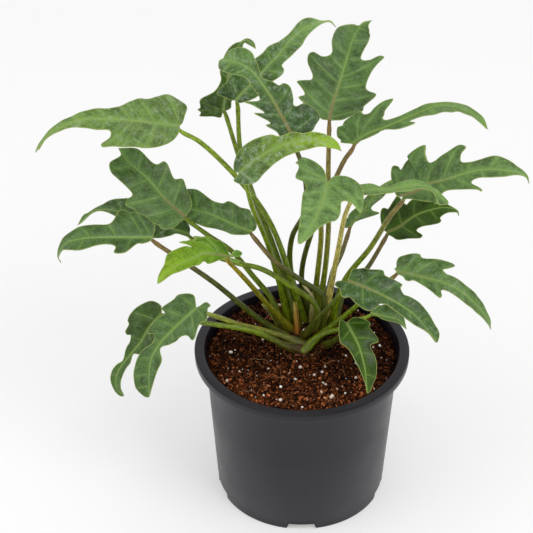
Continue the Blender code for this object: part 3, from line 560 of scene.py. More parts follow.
class HalfBlade:
    """One half of a blade: rows of points that run out from the midrib along the side veins."""

    def __init__(self, spine, lobes, side):
        self.side = side
        edge, stops = smooth_line([(0.0, 0.0), *lobes, (spine.length, 0.0)], ROW_SPACING)
        self.edge = np.array(edge)[1:-1]
        self.feet = self.row_feet(spine.length)
        steps = np.linalg.norm(np.diff(self.edge, axis=0), axis=1) * 0.5 + np.diff(self.feet) * 0.5
        self.rows = np.concatenate(([0.0], np.cumsum(steps)))
        veins = self.vein_rows(lobes, [stop - 1 for stop in stops[1:-1]])
        share = np.array(ACROSS)
        bent = share + VEIN_BEND * share * (share - 1.0)
        along = self.feet[:, None] + (self.edge[:, 0] - self.feet)[:, None] * bent
        self.flat = np.stack((along, self.edge[:, 1:] * share), -1)
        self.to_vein = self.distance([self.flat[row] for row in veins])
        self.to_edge = self.distance([self.edge])

    def row_feet(self, length):
        """Where each row leaves the midrib: never going back, held back before a notch, and evened out."""
        reached = 0.0
        feet = []
        for along, out in self.edge:
            reached = min(max(reached, along - VEIN_SLOPE * abs(out)), length)
            feet.append(reached)
        limit = length
        for i in reversed(range(1, len(feet))):
            (along, out), (next_along, next_out) = self.edge[i - 1], self.edge[i]
            if next_out < out:
                limit = min(limit, (next_along * out - along * next_out) / (out - next_out))
            feet[i] = min(feet[i], max(limit, 0.0))
        feet[0] = min(feet[0], feet[1])
        for _ in range(3):
            feet = [feet[0], *((a + b + c) / 3 for a, b, c in zip(feet, feet[1:], feet[2:])), feet[-1]]
        return np.array(feet)

    def vein_rows(self, lobes, stops):
        """The rows that carry a side vein: one to each lobe's tip, and more where those are far apart."""
        outs = [0.0, *(out for _, out in lobes), 0.0]
        tips = [stops[i] for i in range(len(lobes)) if outs[i] < outs[i + 1] >= outs[i + 2]]
        chosen = set(tips)
        for low, high in zip([0, *tips], [*tips, len(self.feet) - 1]):
            span = self.feet[high] - self.feet[low]
            extra = int(span / VEIN_SPACING)
            for step in range(1, extra + 1):
                chosen.add(int(np.searchsorted(self.feet, self.feet[low] + span * step / (extra + 1))))
        return sorted(row for row in chosen if 2 < row < len(self.feet) - 6)

    def distance(self, lines):
        """Each point's distance to the nearest of these lines, measured on the flat blade."""
        nearest = np.full(self.flat.shape[:2], 99.0)
        for line in lines:
            start, step = line[:-1], np.diff(line, axis=0)
            size = np.maximum((step**2).sum(1), 1e-9)
            apart = self.flat[:, :, None] - start
            share = np.clip((apart * step).sum(-1) / size, 0.0, 1.0)
            gap = np.linalg.norm(apart - share[..., None] * step, axis=-1).min(-1)
            nearest = np.minimum(nearest, gap)
        return nearest

    def lift(self, number, length):
        """How far the surface rises: grooved along the veins, puffed between them and wavy at the edge.
        It all hangs on where a point lies, so that rows that meet at a notch lie together."""
        along, rib = self.flat[..., 0], self.flat[..., 1]
        inner = 1.0 - bell(self.to_edge / EDGE_WIDTH)
        away = 1.0 - bell(rib / RIB_WIDTH)
        groove = GROOVE_DEPTH * bell(self.to_vein / GROOVE_WIDTH) * inner
        puff = PUFF_HEIGHT * (1.0 - bell(self.to_vein / PUFF_WIDTH)) * away * inner
        channel = channel_depth(np.clip(along / length, 0.0, 1.0)) * bell(rib / CHANNEL_WIDTH)
        phase = 2.1 * number + (1.7 if self.side > 0 else 0.0)
        wave = np.sin((along + 0.4 * rib) / 4.3 + phase)
        wave += 0.5 * np.sin((along - 0.7 * rib) / 2.3 + 2.0 * phase)
        roll = ROLL_DROP * np.clip(1.0 - self.to_edge / ROLL_WIDTH, 0.0, 1.0)
        return puff - groove - channel + WAVE_HEIGHT * wave * away * (1.0 - inner) - roll


def put_attribute(mesh, name, values):
    """Stores one value, vector or colour for each point of a mesh."""
    kinds = {1: ("FLOAT", "value"), 3: ("FLOAT_VECTOR", "vector"), 4: ("FLOAT_COLOR", "color")}
    kind, field = kinds[values.size // len(values)]
    made = mesh.attributes.new(name, kind, "POINT")
    made.data.foreach_set(field, np.ascontiguousarray(values, np.float32).ravel())


def add_object(name, data):
    """A new object in the scene."""
    made = bpy.data.objects.new(name, data)
    bpy.context.scene.collection.objects.link(made)
    return made


def add_piece(name, mesh, slot, replaced=None):
    """Puts a mesh in the scene as a piece that rides on the part's one body."""
    piece = add_object(name, mesh)
    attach(piece, "root")
    if replaced:
        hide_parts(replaced)
    return piece


def new_piece(name, points, faces, surfaces, slot, replaced=None, **attributes):
    """A smooth piece made from points in millimetres, with values stored on its points."""
    mesh = bpy.data.meshes.new(name)
    mesh.from_pydata(np.asarray(points, float) * MM, [], faces)
    for key, values in attributes.items():
        put_attribute(mesh, key, np.asarray(values))
    for surface in surfaces:
        mesh.materials.append(surface)
    mesh.update()
    mesh.shade_smooth()
    return add_piece(name, mesh, slot, replaced)


def modify(thing, name, kind, **settings):
    """Adds a modifier to an object."""
    made = thing.modifiers.new(name, kind)
    for key, value in settings.items():
        setattr(made, key, value)


def zip_strips(low, low_marks, high, high_marks):
    """Triangles between two lines of points, in step with the marks along each."""
    faces = []
    one, two = 0, 0
    while one < len(low) - 1 or two < len(high) - 1:
        if two == len(high) - 1 or (one < len(low) - 1 and low_marks[one + 1] <= high_marks[two + 1]):
            faces.append((low[one], low[one + 1], high[two]))
            one += 1
        else:
            faces.append((low[one], high[two + 1], high[two]))
            two += 1
    return faces


def grid_faces(first, rows, across):
    """The faces of an open sheet of points, numbered row by row from first."""
    corners = (first + row * across + column for row in range(rows - 1) for column in range(across - 1))
    return [(a, a + 1, a + across + 1, a + across) for a in corners]


def tube_faces(first, rings, size):
    """The faces of a closed tube of points, numbered ring by ring from first."""
    faces = []
    last = first + (rings - 1) * size
    for low in range(first, last, size):
        for i in range(size):
            after = (i + 1) % size
            faces.append((low + i, low + after, low + size + after, low + size + i))
    return [*faces, tuple(reversed(range(first, first + size))), tuple(range(last, last + size))]


def ring_points(place, forward, side, turns, reaches):
    """Points round a place: at each turn from the side vector about forward, this far out."""
    across = forward.cross(side)
    return [place + (side * math.cos(t) + across * math.sin(t)) * r for t, r in zip(turns, reaches)]


def even_turns(count):
    """Angles that divide a full turn evenly."""
    return [2.0 * math.pi * i / count for i in range(count)]


def build_blade(number, leaf, look, surfaces):
    """A leaf's blade: its midrib, two halves with their veins, and a thickness with its own underside."""
    spine = Spine(leaf)
    count = round(spine.length / RIB_SPACING)
    ribs = [spine.length * i / count for i in range(count + 1)]
    points = [spine.at(along, 0.0, -channel_depth(along / spine.length)) for along in ribs]
    veins = [(0.0, 6.0, 9.0)] * len(ribs)
    place = [(along, 0.0, along / spine.length) for along in ribs]
    faces = []
    for side, name in ((1, "right"), (-1, "left")):
        half = HalfBlade(spine, leaf[name], side)
        lift = half.lift(number, spine.length)
        first = len(points)
        rows, across = lift.shape
        for row, column in np.ndindex(rows, across):
            along, out = half.flat[row, column]
            points.append(spine.at(along, side * out, lift[row, column]))
            veins.append((out, half.to_vein[row, column], half.to_edge[row, column]))
            place.append((half.rows[row], ACROSS[column], spine.within(along) / spine.length))
        feet = range(first, first + rows * across, across)
        made = zip_strips(range(len(ribs)), ribs, feet, half.feet)
        made += [(a, d, c, b) for a, b, c, d in grid_faces(first, rows, across)]
        faces += [tuple(reversed(face)) for face in made] if side > 0 else made
    share = np.array(place)[:, 2:3]
    tint = blend(np.array(look["near"]), np.array(look["far"]), share)
    piece = new_piece(
        f"leaf_{number:02d}_blade", points, faces, surfaces, BLADE_SLOTS.get(number, "leaf"),
        f"blade_{number:02d}", veins=veins, place=place, stain=np.full(len(points), look["stain"]),
        tint=np.hstack((tint, np.full_like(share, look["silver_sheen"]))),
    )
    weld(piece.data, WELD)
    modify(
        piece, "thickness", "SOLIDIFY", thickness=BLADE_THICK * MM, offset=-1.0, material_offset=1,
        material_offset_rim=2,
    )
    return spine


def weld(mesh, distance):
    """Joins points of a mesh that are closer than this, in millimetres, and drops what that leaves flat."""
    work = bmesh.new()
    work.from_mesh(mesh)
    bmesh.ops.remove_doubles(work, verts=work.verts, dist=distance * MM)
    bmesh.ops.dissolve_degenerate(work, edges=work.edges, dist=distance * MM)
    work.to_mesh(mesh)
    work.free()
    mesh.update()


def crown_reach(x, y):
    """How far a place is from the crown's middle: 1 at the crown's edge."""
    return math.hypot((x - CROWN_CENTRE[0]) / CROWN_RADII[0], (y - CROWN_CENTRE[1]) / CROWN_RADII[1])


def crown_height(x, y):
    """How high the crown's top is here, above its flat underside."""
    return CROWN_HEIGHT * math.sqrt(max(0.0, 1.0 - crown_reach(x, y) ** 2))


def crown_spot(foot, depth=0.0):
    """The point where a stalk or a sheath stands on the crown, or this far below it."""
    return Vector((*foot, MIX_TOP + crown_height(*foot) - depth))


def stalk_route(leaf, spine):
    """The points that a stalk runs through and its radius at each, from inside the crown to near the
    blade's tip, and the number of the point where the blade starts."""
    _, upper, _ = spine.frame(0.0)
    start = spine.at(2.0, 0.0)
    lean = (Vector(leaf["stalk"][-1]) - start).normalized()
    end = start - upper * (BLADE_THICK + CHANNEL_DEPTH + STALK_END)
    foot = crown_spot(leaf["foot"])
    root = foot + (foot - Vector(leaf["stalk"][0])).normalized() * ROOT_DEPTH
    knots = [root, *leaf["stalk"], end + lean * NECK_LENGTH, end]
    slimmer = np.linspace(STALK_LOW, STALK_HIGH, len(leaf["stalk"]), endpoint=False)
    radii = [STALK_ROOT, *slimmer, STALK_NECK, STALK_END]
    joint = len(knots) - 1
    for along in np.arange(RIB_KNOTS, spine.length * RIB_REACH, RIB_KNOTS):
        _, upper, _ = spine.frame(along)
        share = along / spine.length
        radius = blend(RIB_START, RIB_END, share)
        depth = BLADE_THICK + channel_depth(share) + RIB_SINK * radius
        knots.append(spine.at(along, 0.0) - upper * depth)
        radii.append(radius)
    return knots, radii, joint


def stalk_tint(colours, span, joint):
    """A stalk's colour along it, which passes its middle colour in the first half and grows pale under the
    blade. The fourth number is how scurfy it is."""
    low, middle, high = (np.array(colour) for colour in colours)
    reach = np.clip(span / joint, 0.0, 1.0)[:, None]
    tint = blend(low, middle, np.clip(reach * 2.5, 0.0, 1.0))
    tint = blend(tint, high, np.clip(reach * 2.0 - 1.0, 0.0, 1.0) ** 1.3)
    tint = blend(tint, np.array(VEIN) * 0.75, np.clip((span - joint) / 30.0, 0.0, 1.0)[:, None])
    return np.hstack((tint, np.exp(-span / 9.0)[:, None]))


def build_stalk(number, leaf, look, spine, surface):
    """A leaf's stalk, from inside the crown to the blade, which it carries on under as the midrib."""
    knots, radii, joint = stalk_route(leaf, spine)
    line, stops = smooth_line(knots, STALK_SPACING)
    marks = marks_along(line)
    joint = marks[stops[joint]]
    sizes = np.interp(range(len(line)), stops, radii)
    sizes *= 1.0 + look["flare"] * bell(marks / look["flare_reach"])
    sizes *= 1.0 + SWELLING * bell((marks - joint + SWELLING_BEFORE) / SWELLING_WIDTH)
    turns = even_turns(RING)
    _, side, _ = spine.frame(spine.length)
    rings = []
    for index in reversed(range(len(line))):
        forward = heading(line, index)
        side = (side - forward * side.dot(forward)).normalized()
        groove = STALK_GROOVE * min(marks[index] / GROOVE_START, 1.0)
        shape = (1.0 - groove * max(math.cos(t), 0.0) ** 3 + STALK_RIBS * math.cos(5.0 * t) for t in turns)
        rings.append(ring_points(line[index], forward, side, turns, (sizes[index] * s for s in shape)))
    points = [point for ring in reversed(rings) for point in ring]
    span = np.repeat(marks, RING)
    around = np.tile(turns, len(line))
    slot = "brown_stalk" if look["stalk"][2] is STEM_BROWN else "stalk"
    slot = "yellow_stalk" if number in YELLOW_STALKS else slot
    new_piece(
        f"leaf_{number:02d}_stalk", points, tube_faces(0, len(line), RING), [surface], slot,
        f"stalk_{number:02d}", grain=np.stack((np.cos(around), np.sin(around), span / 14.0), -1),
        tint=stalk_tint(look["stalk"], span, joint),
    )


def build_husk(number, sheath, surface):
    """A dry sheath: a curled strip, open on one side, that narrows to a torn tip."""
    line, stops = smooth_line([crown_spot(sheath["foot"], HUSK_DEPTH), *sheath["path"]], HUSK_SPACING)
    sizes = np.interp(range(len(line)), stops, np.linspace(*sheath["radii"], len(stops)))
    near, far = (np.array(colour) for colour in sheath["colours"])
    draw = random.Random(SEED + number)
    torn = [draw.uniform(0.0, HUSK_TEAR) for _ in range(HUSK_COLUMNS + 1)]
    open_turns = np.radians(np.linspace(-HUSK_TURN, HUSK_TURN, HUSK_COLUMNS + 1))
    points, grain, tint = [], [], []
    for index, (place, size) in enumerate(zip(line, sizes)):
        share = index / (len(line) - 1)
        forward = heading(line, index)
        turns = open_turns * (1.0 - 0.25 * share) + number
        reaches = size * (1.0 + 0.06 * np.sin(9.0 * turns + 0.6 * index))
        edge = ring_points(place, forward, forward.orthogonal().normalized(), turns, reaches)
        points += [point - forward * tear * share**3 for point, tear in zip(edge, torn)]
        grain += [(math.cos(turn) * 2.0, math.sin(turn) * 2.0, share) for turn in turns]
        tint += [(*blend(near, far, share**1.5), 0.0)] * len(turns)
    piece = new_piece(
        f"husk_{number:02d}", points, grid_faces(0, len(line), HUSK_COLUMNS + 1), [surface], "dry_sheath",
        f"sheath_{number:02d}", grain=grain, tint=tint,
    )
    modify(piece, "thickness", "SOLIDIFY", thickness=HUSK_THICK * MM, offset=0.0)


def rough(x, y, size):
    """A smooth random height from about -1 to 1, with lumps of this size in millimetres."""
    return noise.fractal(Vector((x / size, y / size, 3.7)), 1.0, 2.0, 4)


def bed_height(x, y):
    """The potting mix's surface: lumps and pits, banked up round the crown and lower at the pot's wall."""
    near = crown_reach(x, y)
    mound = max(crown_height(x, y) - BED_UNDER_CROWN, 0.0)
    bank = BANK_HEIGHT * bell(max(near - 1.0, 0.0) / BANK_WIDTH)
    lumps = LUMP_HEIGHT * rough(x, y, LUMP_SIZE) + PIT_HEIGHT * rough(x + 50.0, y, PIT_SIZE)
    calm = 0.45 if near < 1.0 else 1.0
    outside = max(math.hypot(x, y) / BED_RADIUS - EDGE_START, 0.0) / (1.0 - EDGE_START)
    return MIX_TOP - BED_UNDER_MIX + mound + bank + calm * lumps - EDGE_DROP * outside


def painted_mix_shade(x, y):
    """How light the mix is here: painted shade, dark round the crown under the leaves and lighter towards
    the front.
    """
    front = min(max((-y - 5.0) / 50.0, 0.0), 1.0)
    return 0.50 + 0.55 * front + 0.45 * rough(x, y + 90.0, 18.0)


def build_bed(surface):
    """The body of the potting mix: a lumpy top, closed by a side wall and a flat underside."""
    count = int(BED_RADIUS / BED_STEP)
    points = [(0.0, 0.0, bed_height(0.0, 0.0))]
    rings = []
    for ring in range(1, count + 1):
        radius = BED_RADIUS * ring / count
        size = max(8, round(2.0 * math.pi * radius / BED_STEP / 8) * 8)
        rings.append(range(len(points), len(points) + size))
        for turn in even_turns(size):
            x, y = radius * math.cos(turn), radius * math.sin(turn)
            points.append((x, y, bed_height(x, y)))
    faces = [(0, a, b) for a, b in zip(rings[0], [*rings[0][1:], rings[0][0]])]
    for low, high in zip(rings, rings[1:]):
        marks = [[i / len(ring) for i in range(len(ring) + 1)] for ring in (low, high)]
        made = zip_strips([*low, low[0]], marks[0], [*high, high[0]], marks[1])
        faces += [tuple(reversed(face)) for face in made]
    rim, size = rings[-1][0], len(rings[-1])
    shrink = (outer_radius(INNER_CORNER) - WALL - BED_GAP) / BED_RADIUS
    points += [(x * shrink, y * shrink, FLOOR + 0.4) for x, y, _ in points[rim:]]
    wall = tube_faces(rim, 2, size)
    faces += [tuple(reversed(face)) for face in (*wall[:-2], wall[-1])]
    new_piece("mix_bed", points, faces, [surface], "potting_mix", "potting_mix")


def ball(steps):
    """The points and faces of a ball of radius 1 made of even triangles."""
    work = bmesh.new()
    bmesh.ops.create_icosphere(work, subdivisions=steps, radius=1.0)
    points = np.array([v.co[:] for v in work.verts])
    faces = np.array([[v.index for v in f.verts] for f in work.faces])
    work.free()
    return points, faces


def scatter_spot(draw, reach):
    """A random place on the mix, evenly over its disc."""
    radius = reach * math.sqrt(draw.random())
    turn = draw.uniform(0.0, 2.0 * math.pi)
    return radius * math.cos(turn), radius * math.sin(turn)


def scatter_grains(seed, colours, count, steps, sizes, flat, lumpy, rise, shade=lambda x, y: 1.0):
    """Many small rough lumps that lie on the mix, with one colour each: points, faces and colours."""
    draw = random.Random(seed)
    unit, unit_faces = ball(steps)
    points, faces, tint = [], [], []
    for index in range(count):
        size = draw.triangular(*sizes)
        x, y = scatter_spot(draw, BED_RADIUS - 1.0 - size)
        shape = np.array((1.0, draw.uniform(*flat), draw.uniform(*flat)))
        lumps = np.array([1.0 + lumpy * draw.uniform(-1.0, 1.0) for _ in unit])
        spin = Matrix.Rotation(draw.uniform(0, 6.28), 3, "Z")
        tilts = [Matrix.Rotation(draw.gauss(0.0, GRAIN_TILT), 3, axis) for axis in "XY"]
        made = (unit * lumps[:, None] * shape * size) @ np.array(spin @ tilts[0] @ tilts[1]).T
        points.append(made + (x, y, bed_height(x, y) + size * shape[2] * rise))
        faces.append(unit_faces + index * len(unit))
        colour = np.array(draw.choice(colours)) * shade(x, y)
        tint.append(np.tile((*colour, draw.random()), (len(unit), 1)))
    return np.concatenate(points), np.concatenate(faces), np.concatenate(tint)


def build_crumbs(surface):
    """The loose crumbs and chips on top of the potting mix."""
    # The crumbs' colours carry the mix's painted shade, darker round the crown under the leaves.
    points, faces, tint = scatter_grains(SEED, CRUMB_COLOURS, shade=painted_mix_shade, **CRUMBS)
    new_piece("mix_crumbs", points, faces.tolist(), [surface], "potting_mix", tint=tint)


def build_perlite(surface):
    """The white perlite: round grains, and dust of the same."""
    grains = scatter_grains(SEED + 1, PERLITE_COLOURS, **PERLITE)
    dust = scatter_grains(SEED + 2, PERLITE_COLOURS, **PERLITE_DUST)
    faces = np.concatenate((grains[1], dust[1] + len(grains[0]))).tolist()
    points, tint = (np.concatenate((grains[i], dust[i])) for i in (0, 2))
    new_piece("perlite", points, faces, [surface], "potting_mix", tint=tint)


def build_fibres(surface):
    """Thin coir fibres that lie in loose curves on the potting mix."""
    draw = random.Random(SEED + 3)
    turns = even_turns(FIBRE_SIDES)
    points, faces, tint = [], [], []
    for _ in range(FIBRES):
        x, y = scatter_spot(draw, BED_RADIUS - 8.0)
        course = draw.uniform(0.0, 2.0 * math.pi)
        length = draw.uniform(*FIBRE_LENGTH)
        bend = draw.uniform(-FIBRE_BEND, FIBRE_BEND)
        size = draw.uniform(*FIBRE_RADIUS)
        rise = draw.uniform(*FIBRE_RISE)
        steps = max(6, int(length))
        colour = (*draw.choice(FIBRE_COLOURS), 0.0)
        path = []
        for step in range(steps + 1):
            hump = rise * math.sin(math.pi * step / steps)
            path.append(Vector((x, y, bed_height(x, y) + 0.4 + hump)))
            course += bend
            x += math.cos(course) * length / steps
            y += math.sin(course) * length / steps
            if math.hypot(x, y) > BED_RADIUS - 1.5:
                break
        first = len(points)
        for index, place in enumerate(path):
            forward = heading(path, index)
            side = forward.cross(Vector((0.0, 0.0, 1.0))).normalized()
            points += ring_points(place, forward, side, turns, [size] * FIBRE_SIDES)
        faces += tube_faces(first, len(path), FIBRE_SIDES)
        tint += [colour] * (len(points) - first)
    new_piece("mix_fibres", points, faces, [surface], "potting_mix", tint=tint)


def build_crown(surface):
    """The crown: a knobbly mound of old stem and scale leaves between the stalks."""
    work = bmesh.new()
    bmesh.ops.create_icosphere(work, subdivisions=6, radius=1.0)
    whole = [*work.verts, *work.edges, *work.faces]
    bmesh.ops.bisect_plane(work, geom=whole, plane_co=(0, 0, 0), plane_no=(0, 0, -1), clear_outer=True)
    bmesh.ops.holes_fill(work, edges=[edge for edge in work.edges if edge.is_boundary])
    points = []
    for vert in work.verts:
        x, y, z = vert.co
        knob = 1.0 + (0.10 * noise.fractal(vert.co * 5.0, 1.0, 2.0, 4) if z > 0.01 else 0.0)
        points.append((
            CROWN_CENTRE[0] + CROWN_RADII[0] * x * knob,
            CROWN_CENTRE[1] + CROWN_RADII[1] * y * knob,
            MIX_TOP + 0.3 + CROWN_HEIGHT * z * knob,
        ))
    faces = [[v.index for v in face.verts] for face in work.faces]
    work.free()
    new_piece("crown_mound", points, faces, [surface], "crown", "crown")


def outer_radius(z):
    """The pot body's outer radius at this height, below the rim."""
    return FOOT_RADIUS + (NECK_RADIUS - FOOT_RADIUS) * z / (POT_HEIGHT - SKIRT_DROP)


def pot_profile():
    """Half of the pot's section, as (radius, height), from the floor's middle over the rim and back."""
    neck = POT_HEIGHT - SKIRT_DROP
    inner_rim = RIM_RADIUS - 8.0
    step = outer_radius(FOOT_STEP)
    floor = ((0.0, FLOOR), (30.0, FLOOR), (outer_radius(0.0) - WALL - 2.0, FLOOR))
    inside = (
        (outer_radius(INNER_CORNER) - WALL, INNER_CORNER),
        (NECK_RADIUS - WALL, neck - 2.0),
        (NECK_RADIUS - WALL + 0.8, neck + 2.0),
    )
    rim = (
        (inner_rim - 0.1, POT_HEIGHT - 0.9),
        (inner_rim + 0.3, POT_HEIGHT - 0.2),
        (inner_rim + 1.0, POT_HEIGHT - 0.05),
        (RIM_RADIUS - 2.0, POT_HEIGHT),
        (RIM_RADIUS - 0.9, POT_HEIGHT - 0.05),
        (RIM_RADIUS - 0.25, POT_HEIGHT - 0.35),
        (RIM_RADIUS, POT_HEIGHT - 1.0),
    )
    skirt = (
        (RIM_RADIUS - 0.3, neck + 0.8),
        (RIM_RADIUS - 0.45, neck + 0.25),
        (RIM_RADIUS - 0.9, neck),
        (RIM_RADIUS - 1.6, neck),
        (RIM_RADIUS - 1.9, neck + 0.4),
        (RIM_RADIUS - 1.6, POT_HEIGHT - 1.8),
        (inner_rim + 1.2, POT_HEIGHT - 1.8),
    )
    body = (
        (NECK_RADIUS + 0.5, neck + 1.5),
        (NECK_RADIUS, neck - 1.5),
        (outer_radius(80.0), 80.0),
        (step, FOOT_STEP + 0.2),
    )
    foot = (
        (step - 0.15, FOOT_STEP - 0.1),
        (FOOT_RADIUS + 0.3, FOOT_STEP - 0.6),
        (FOOT_RADIUS + 0.1, 1.6),
        (FOOT_RADIUS - 0.15, 0.6),
        (FOOT_RADIUS - 0.7, 0.1),
        (FOOT_RADIUS - 1.3, 0.0),
    )
    return (*floor, *inside, *rim, *skirt, *body, *foot, (30.0, 0.0), (0.0, 0.0))


def slot_cutters():
    """Wedges that cut the drain slots, wider at the bottom, in one mesh that isn't shown."""
    wedges = bmesh.new()
    for index in range(SLOTS):
        made = bmesh.ops.create_cube(wedges, size=1.0)["verts"]
        for corner in made:
            high = corner.co.z > 0
            corner.co.y *= (SLOT_NARROW if high else SLOT_WIDE) * MM
            corner.co.x = ((SLOT_INNER + SLOT_OUTER) / 2 + corner.co.x * (SLOT_OUTER - SLOT_INNER)) * MM
            corner.co.z = (SLOT_HEIGHT if high else -1.0) * MM
        turn = Matrix.Rotation(math.radians(-90.0 + 360.0 * index / SLOTS), 4, "Z")
        bmesh.ops.transform(wedges, matrix=turn, verts=made)
    mesh = bpy.data.meshes.new("slot_cutters")
    wedges.to_mesh(mesh)
    wedges.free()
    return add_object("slot_cutters", mesh)


def build_pot(surface):
    """The pot: its section turned about Z, less the drain slots."""
    points = [(radius * MM, 0.0, height * MM) for radius, height in pot_profile()]
    section = bpy.data.meshes.new("pot_section")
    section.from_pydata(points, [(i, i + 1) for i in range(len(points) - 1)], [])
    blank = add_object("pot_blank", section)
    modify(
        blank, "turned", "SCREW", steps=POT_STEPS, render_steps=POT_STEPS, use_merge_vertices=True,
        merge_threshold=0.00005,
    )
    cutter = slot_cutters()
    modify(blank, "drain slots", "BOOLEAN", operation="DIFFERENCE", solver="EXACT", object=cutter)
    graph = bpy.context.evaluated_depsgraph_get()
    mesh = bpy.data.meshes.new_from_object(blank.evaluated_get(graph))
    for old in (blank, cutter):
        bpy.data.objects.remove(old, do_unlink=True)
    mesh.name = "nursery_pot"
    mesh.materials.clear()
    mesh.materials.append(surface)
    mesh.shade_smooth()
    mesh.set_sharp_from_angle(angle=math.radians(40))
    add_piece("nursery_pot", mesh, "black_plastic", "pot")


class Look:
    """A material under construction. Its sockets are passed from call to call."""

    def __init__(self, name, roughness=0.5, specular=0.5):
        self.material = bpy.data.materials.new(name)
        self.material.use_nodes = True
        self.tree = self.material.node_tree
        self.shader = self.tree.nodes["Principled BSDF"]
        self.feed(self.shader, {"Roughness": roughness, "Specular IOR Level": specular})

    def feed(self, node, inputs):
        """Gives a node's sockets, by name or number, a value or another node's output."""
        for key, value in inputs.items():
            if isinstance(value, bpy.types.NodeSocket):
                self.tree.links.new(value, node.inputs[key])
            else:
                node.inputs[key].default_value = value

    def node(self, kind, inputs, output=0, **settings):
        """A new node's output."""
        made = self.tree.nodes.new(kind)
        for key, value in settings.items():
            setattr(made, key, value)
        self.feed(made, inputs)
        return made.outputs[output]

    def attribute(self, name, output="Color"):
        """A value stored on the mesh's points."""
        return self.node("ShaderNodeAttribute", {}, output, attribute_name=name)

    def coordinates(self):
        """Where the surface's point lies, in metres."""
        return self.node("ShaderNodeTexCoord", {}, "Object")

    def parts(self, vector):
        """A vector's three numbers."""
        return list(self.node("ShaderNodeSeparateXYZ", {0: vector}).node.outputs)

    def math(self, operation, a, b):
        """Arithmetic on two numbers."""
        return self.node("ShaderNodeMath", {0: a, 1: b}, operation=operation)

    def add(self, a, b):
        """The sum of two numbers."""
        return self.math("ADD", a, b)

    def times(self, a, b):
        """The product of two numbers."""
        return self.math("MULTIPLY", a, b)

    def fade(self, value, start, end, first=1.0, last=0.0):
        """Goes smoothly from first to last as the value goes from start to end."""
        inputs = {"Value": value, "From Min": start, "From Max": end, "To Min": first, "To Max": last}
        return self.node("ShaderNodeMapRange", inputs, interpolation_type="SMOOTHSTEP")

    def rise(self, value, start, end, last=1.0):
        """Goes smoothly from nothing to last as the value goes from start to end."""
        return self.fade(value, start, end, 0.0, last)

    def spread(self, pattern, low, high):
        """A noise pattern, which lies mostly between 0.3 and 0.7, stretched from low to high."""
        return self.fade(pattern, 0.3, 0.7, low, high)

    def noise(self, scale, detail=4.0, roughness=0.55, where=None):
        """A noise pattern over the object, in lumps of about 1 / scale."""
        where = where or self.coordinates()
        inputs = {"Vector": where, "Scale": scale, "Detail": detail, "Roughness": roughness}
        return self.node("ShaderNodeTexNoise", inputs, "Fac")

    def cells(self, scale):
        """A pattern of cells over the object, as the distance from each cell's middle."""
        return self.node("ShaderNodeTexVoronoi", {"Vector": self.coordinates(), "Scale": scale}, "Distance")

    def mix(self, share, a, b):
        """A blend of two colours."""
        a, b = ((*c, 1.0) if isinstance(c, tuple) else c for c in (a, b))
        return self.node("ShaderNodeMix", {0: share, 6: a, 7: b}, 2, data_type="RGBA")

    def scaled(self, colour, amount):
        """A colour made lighter or darker by an amount."""
        return self.node("ShaderNodeVectorMath", {0: colour, "Scale": amount}, operation="SCALE")

    def finish(self, colour, roughness, *bumps):
        """Links the colour, the roughness and the bumps, each (height, distance in metres, strength)."""
        inputs = {"Base Color": colour, "Roughness": roughness}
        for height, distance, strength in bumps:
            bump = {"Height": height, "Distance": distance, "Strength": strength}
            if "Normal" in inputs:
                bump["Normal"] = inputs["Normal"]
            inputs["Normal"] = self.node("ShaderNodeBump", bump)
        self.feed(self.shader, inputs)
        return self.material


def leaf_veins(look, colour, base, blotch, veins, place):
    """Soft pale bands along the veins, fine lines between them, the side veins, and the midrib with its
    brown stain. Also returns the height of the fine lines and side veins, for the bump."""
    rib, side, edge = veins
    row, _, share = place
    halo = look.math("MAXIMUM", look.fade(rib, 0.0, 5.0, 0.65), look.fade(side, 0.0, 3.5, 0.42))
    colour = look.mix(halo, colour, look.scaled(base, 1.65))
    fine = look.math("PINGPONG", look.add(row, look.times(look.noise(300.0, 1.0), 0.9)), 1.15)
    colour = look.mix(look.fade(fine, 0.0, 0.4, 0.07), colour, VEIN)
    reach = look.times(look.fade(edge, 0.5, 6.0, 0.1, 1.0), look.fade(blotch, 0.35, 0.65, 0.5, 1.0))
    colour = look.mix(look.times(look.fade(side, 0.1, 1.1, 0.36), reach), colour, VEIN)
    width = look.fade(share, 0.0, 1.0, 1.5, 0.45)
    rib_line = look.fade(look.math("DIVIDE", rib, width), 0.3, 1.2, 0.85)
    colour = look.mix(rib_line, colour, look.mix(0.2, VEIN, base))
    stain = look.times(look.fade(share, 0.05, 0.5), look.fade(rib, 0.3, 2.2, 0.85))
    colour = look.mix(look.times(stain, look.attribute("stain", "Fac")), colour, RIB_BROWN)
    return colour, look.add(look.fade(fine, 0.0, 0.5, -0.5), look.fade(side, 0.0, 1.2, -1.2))


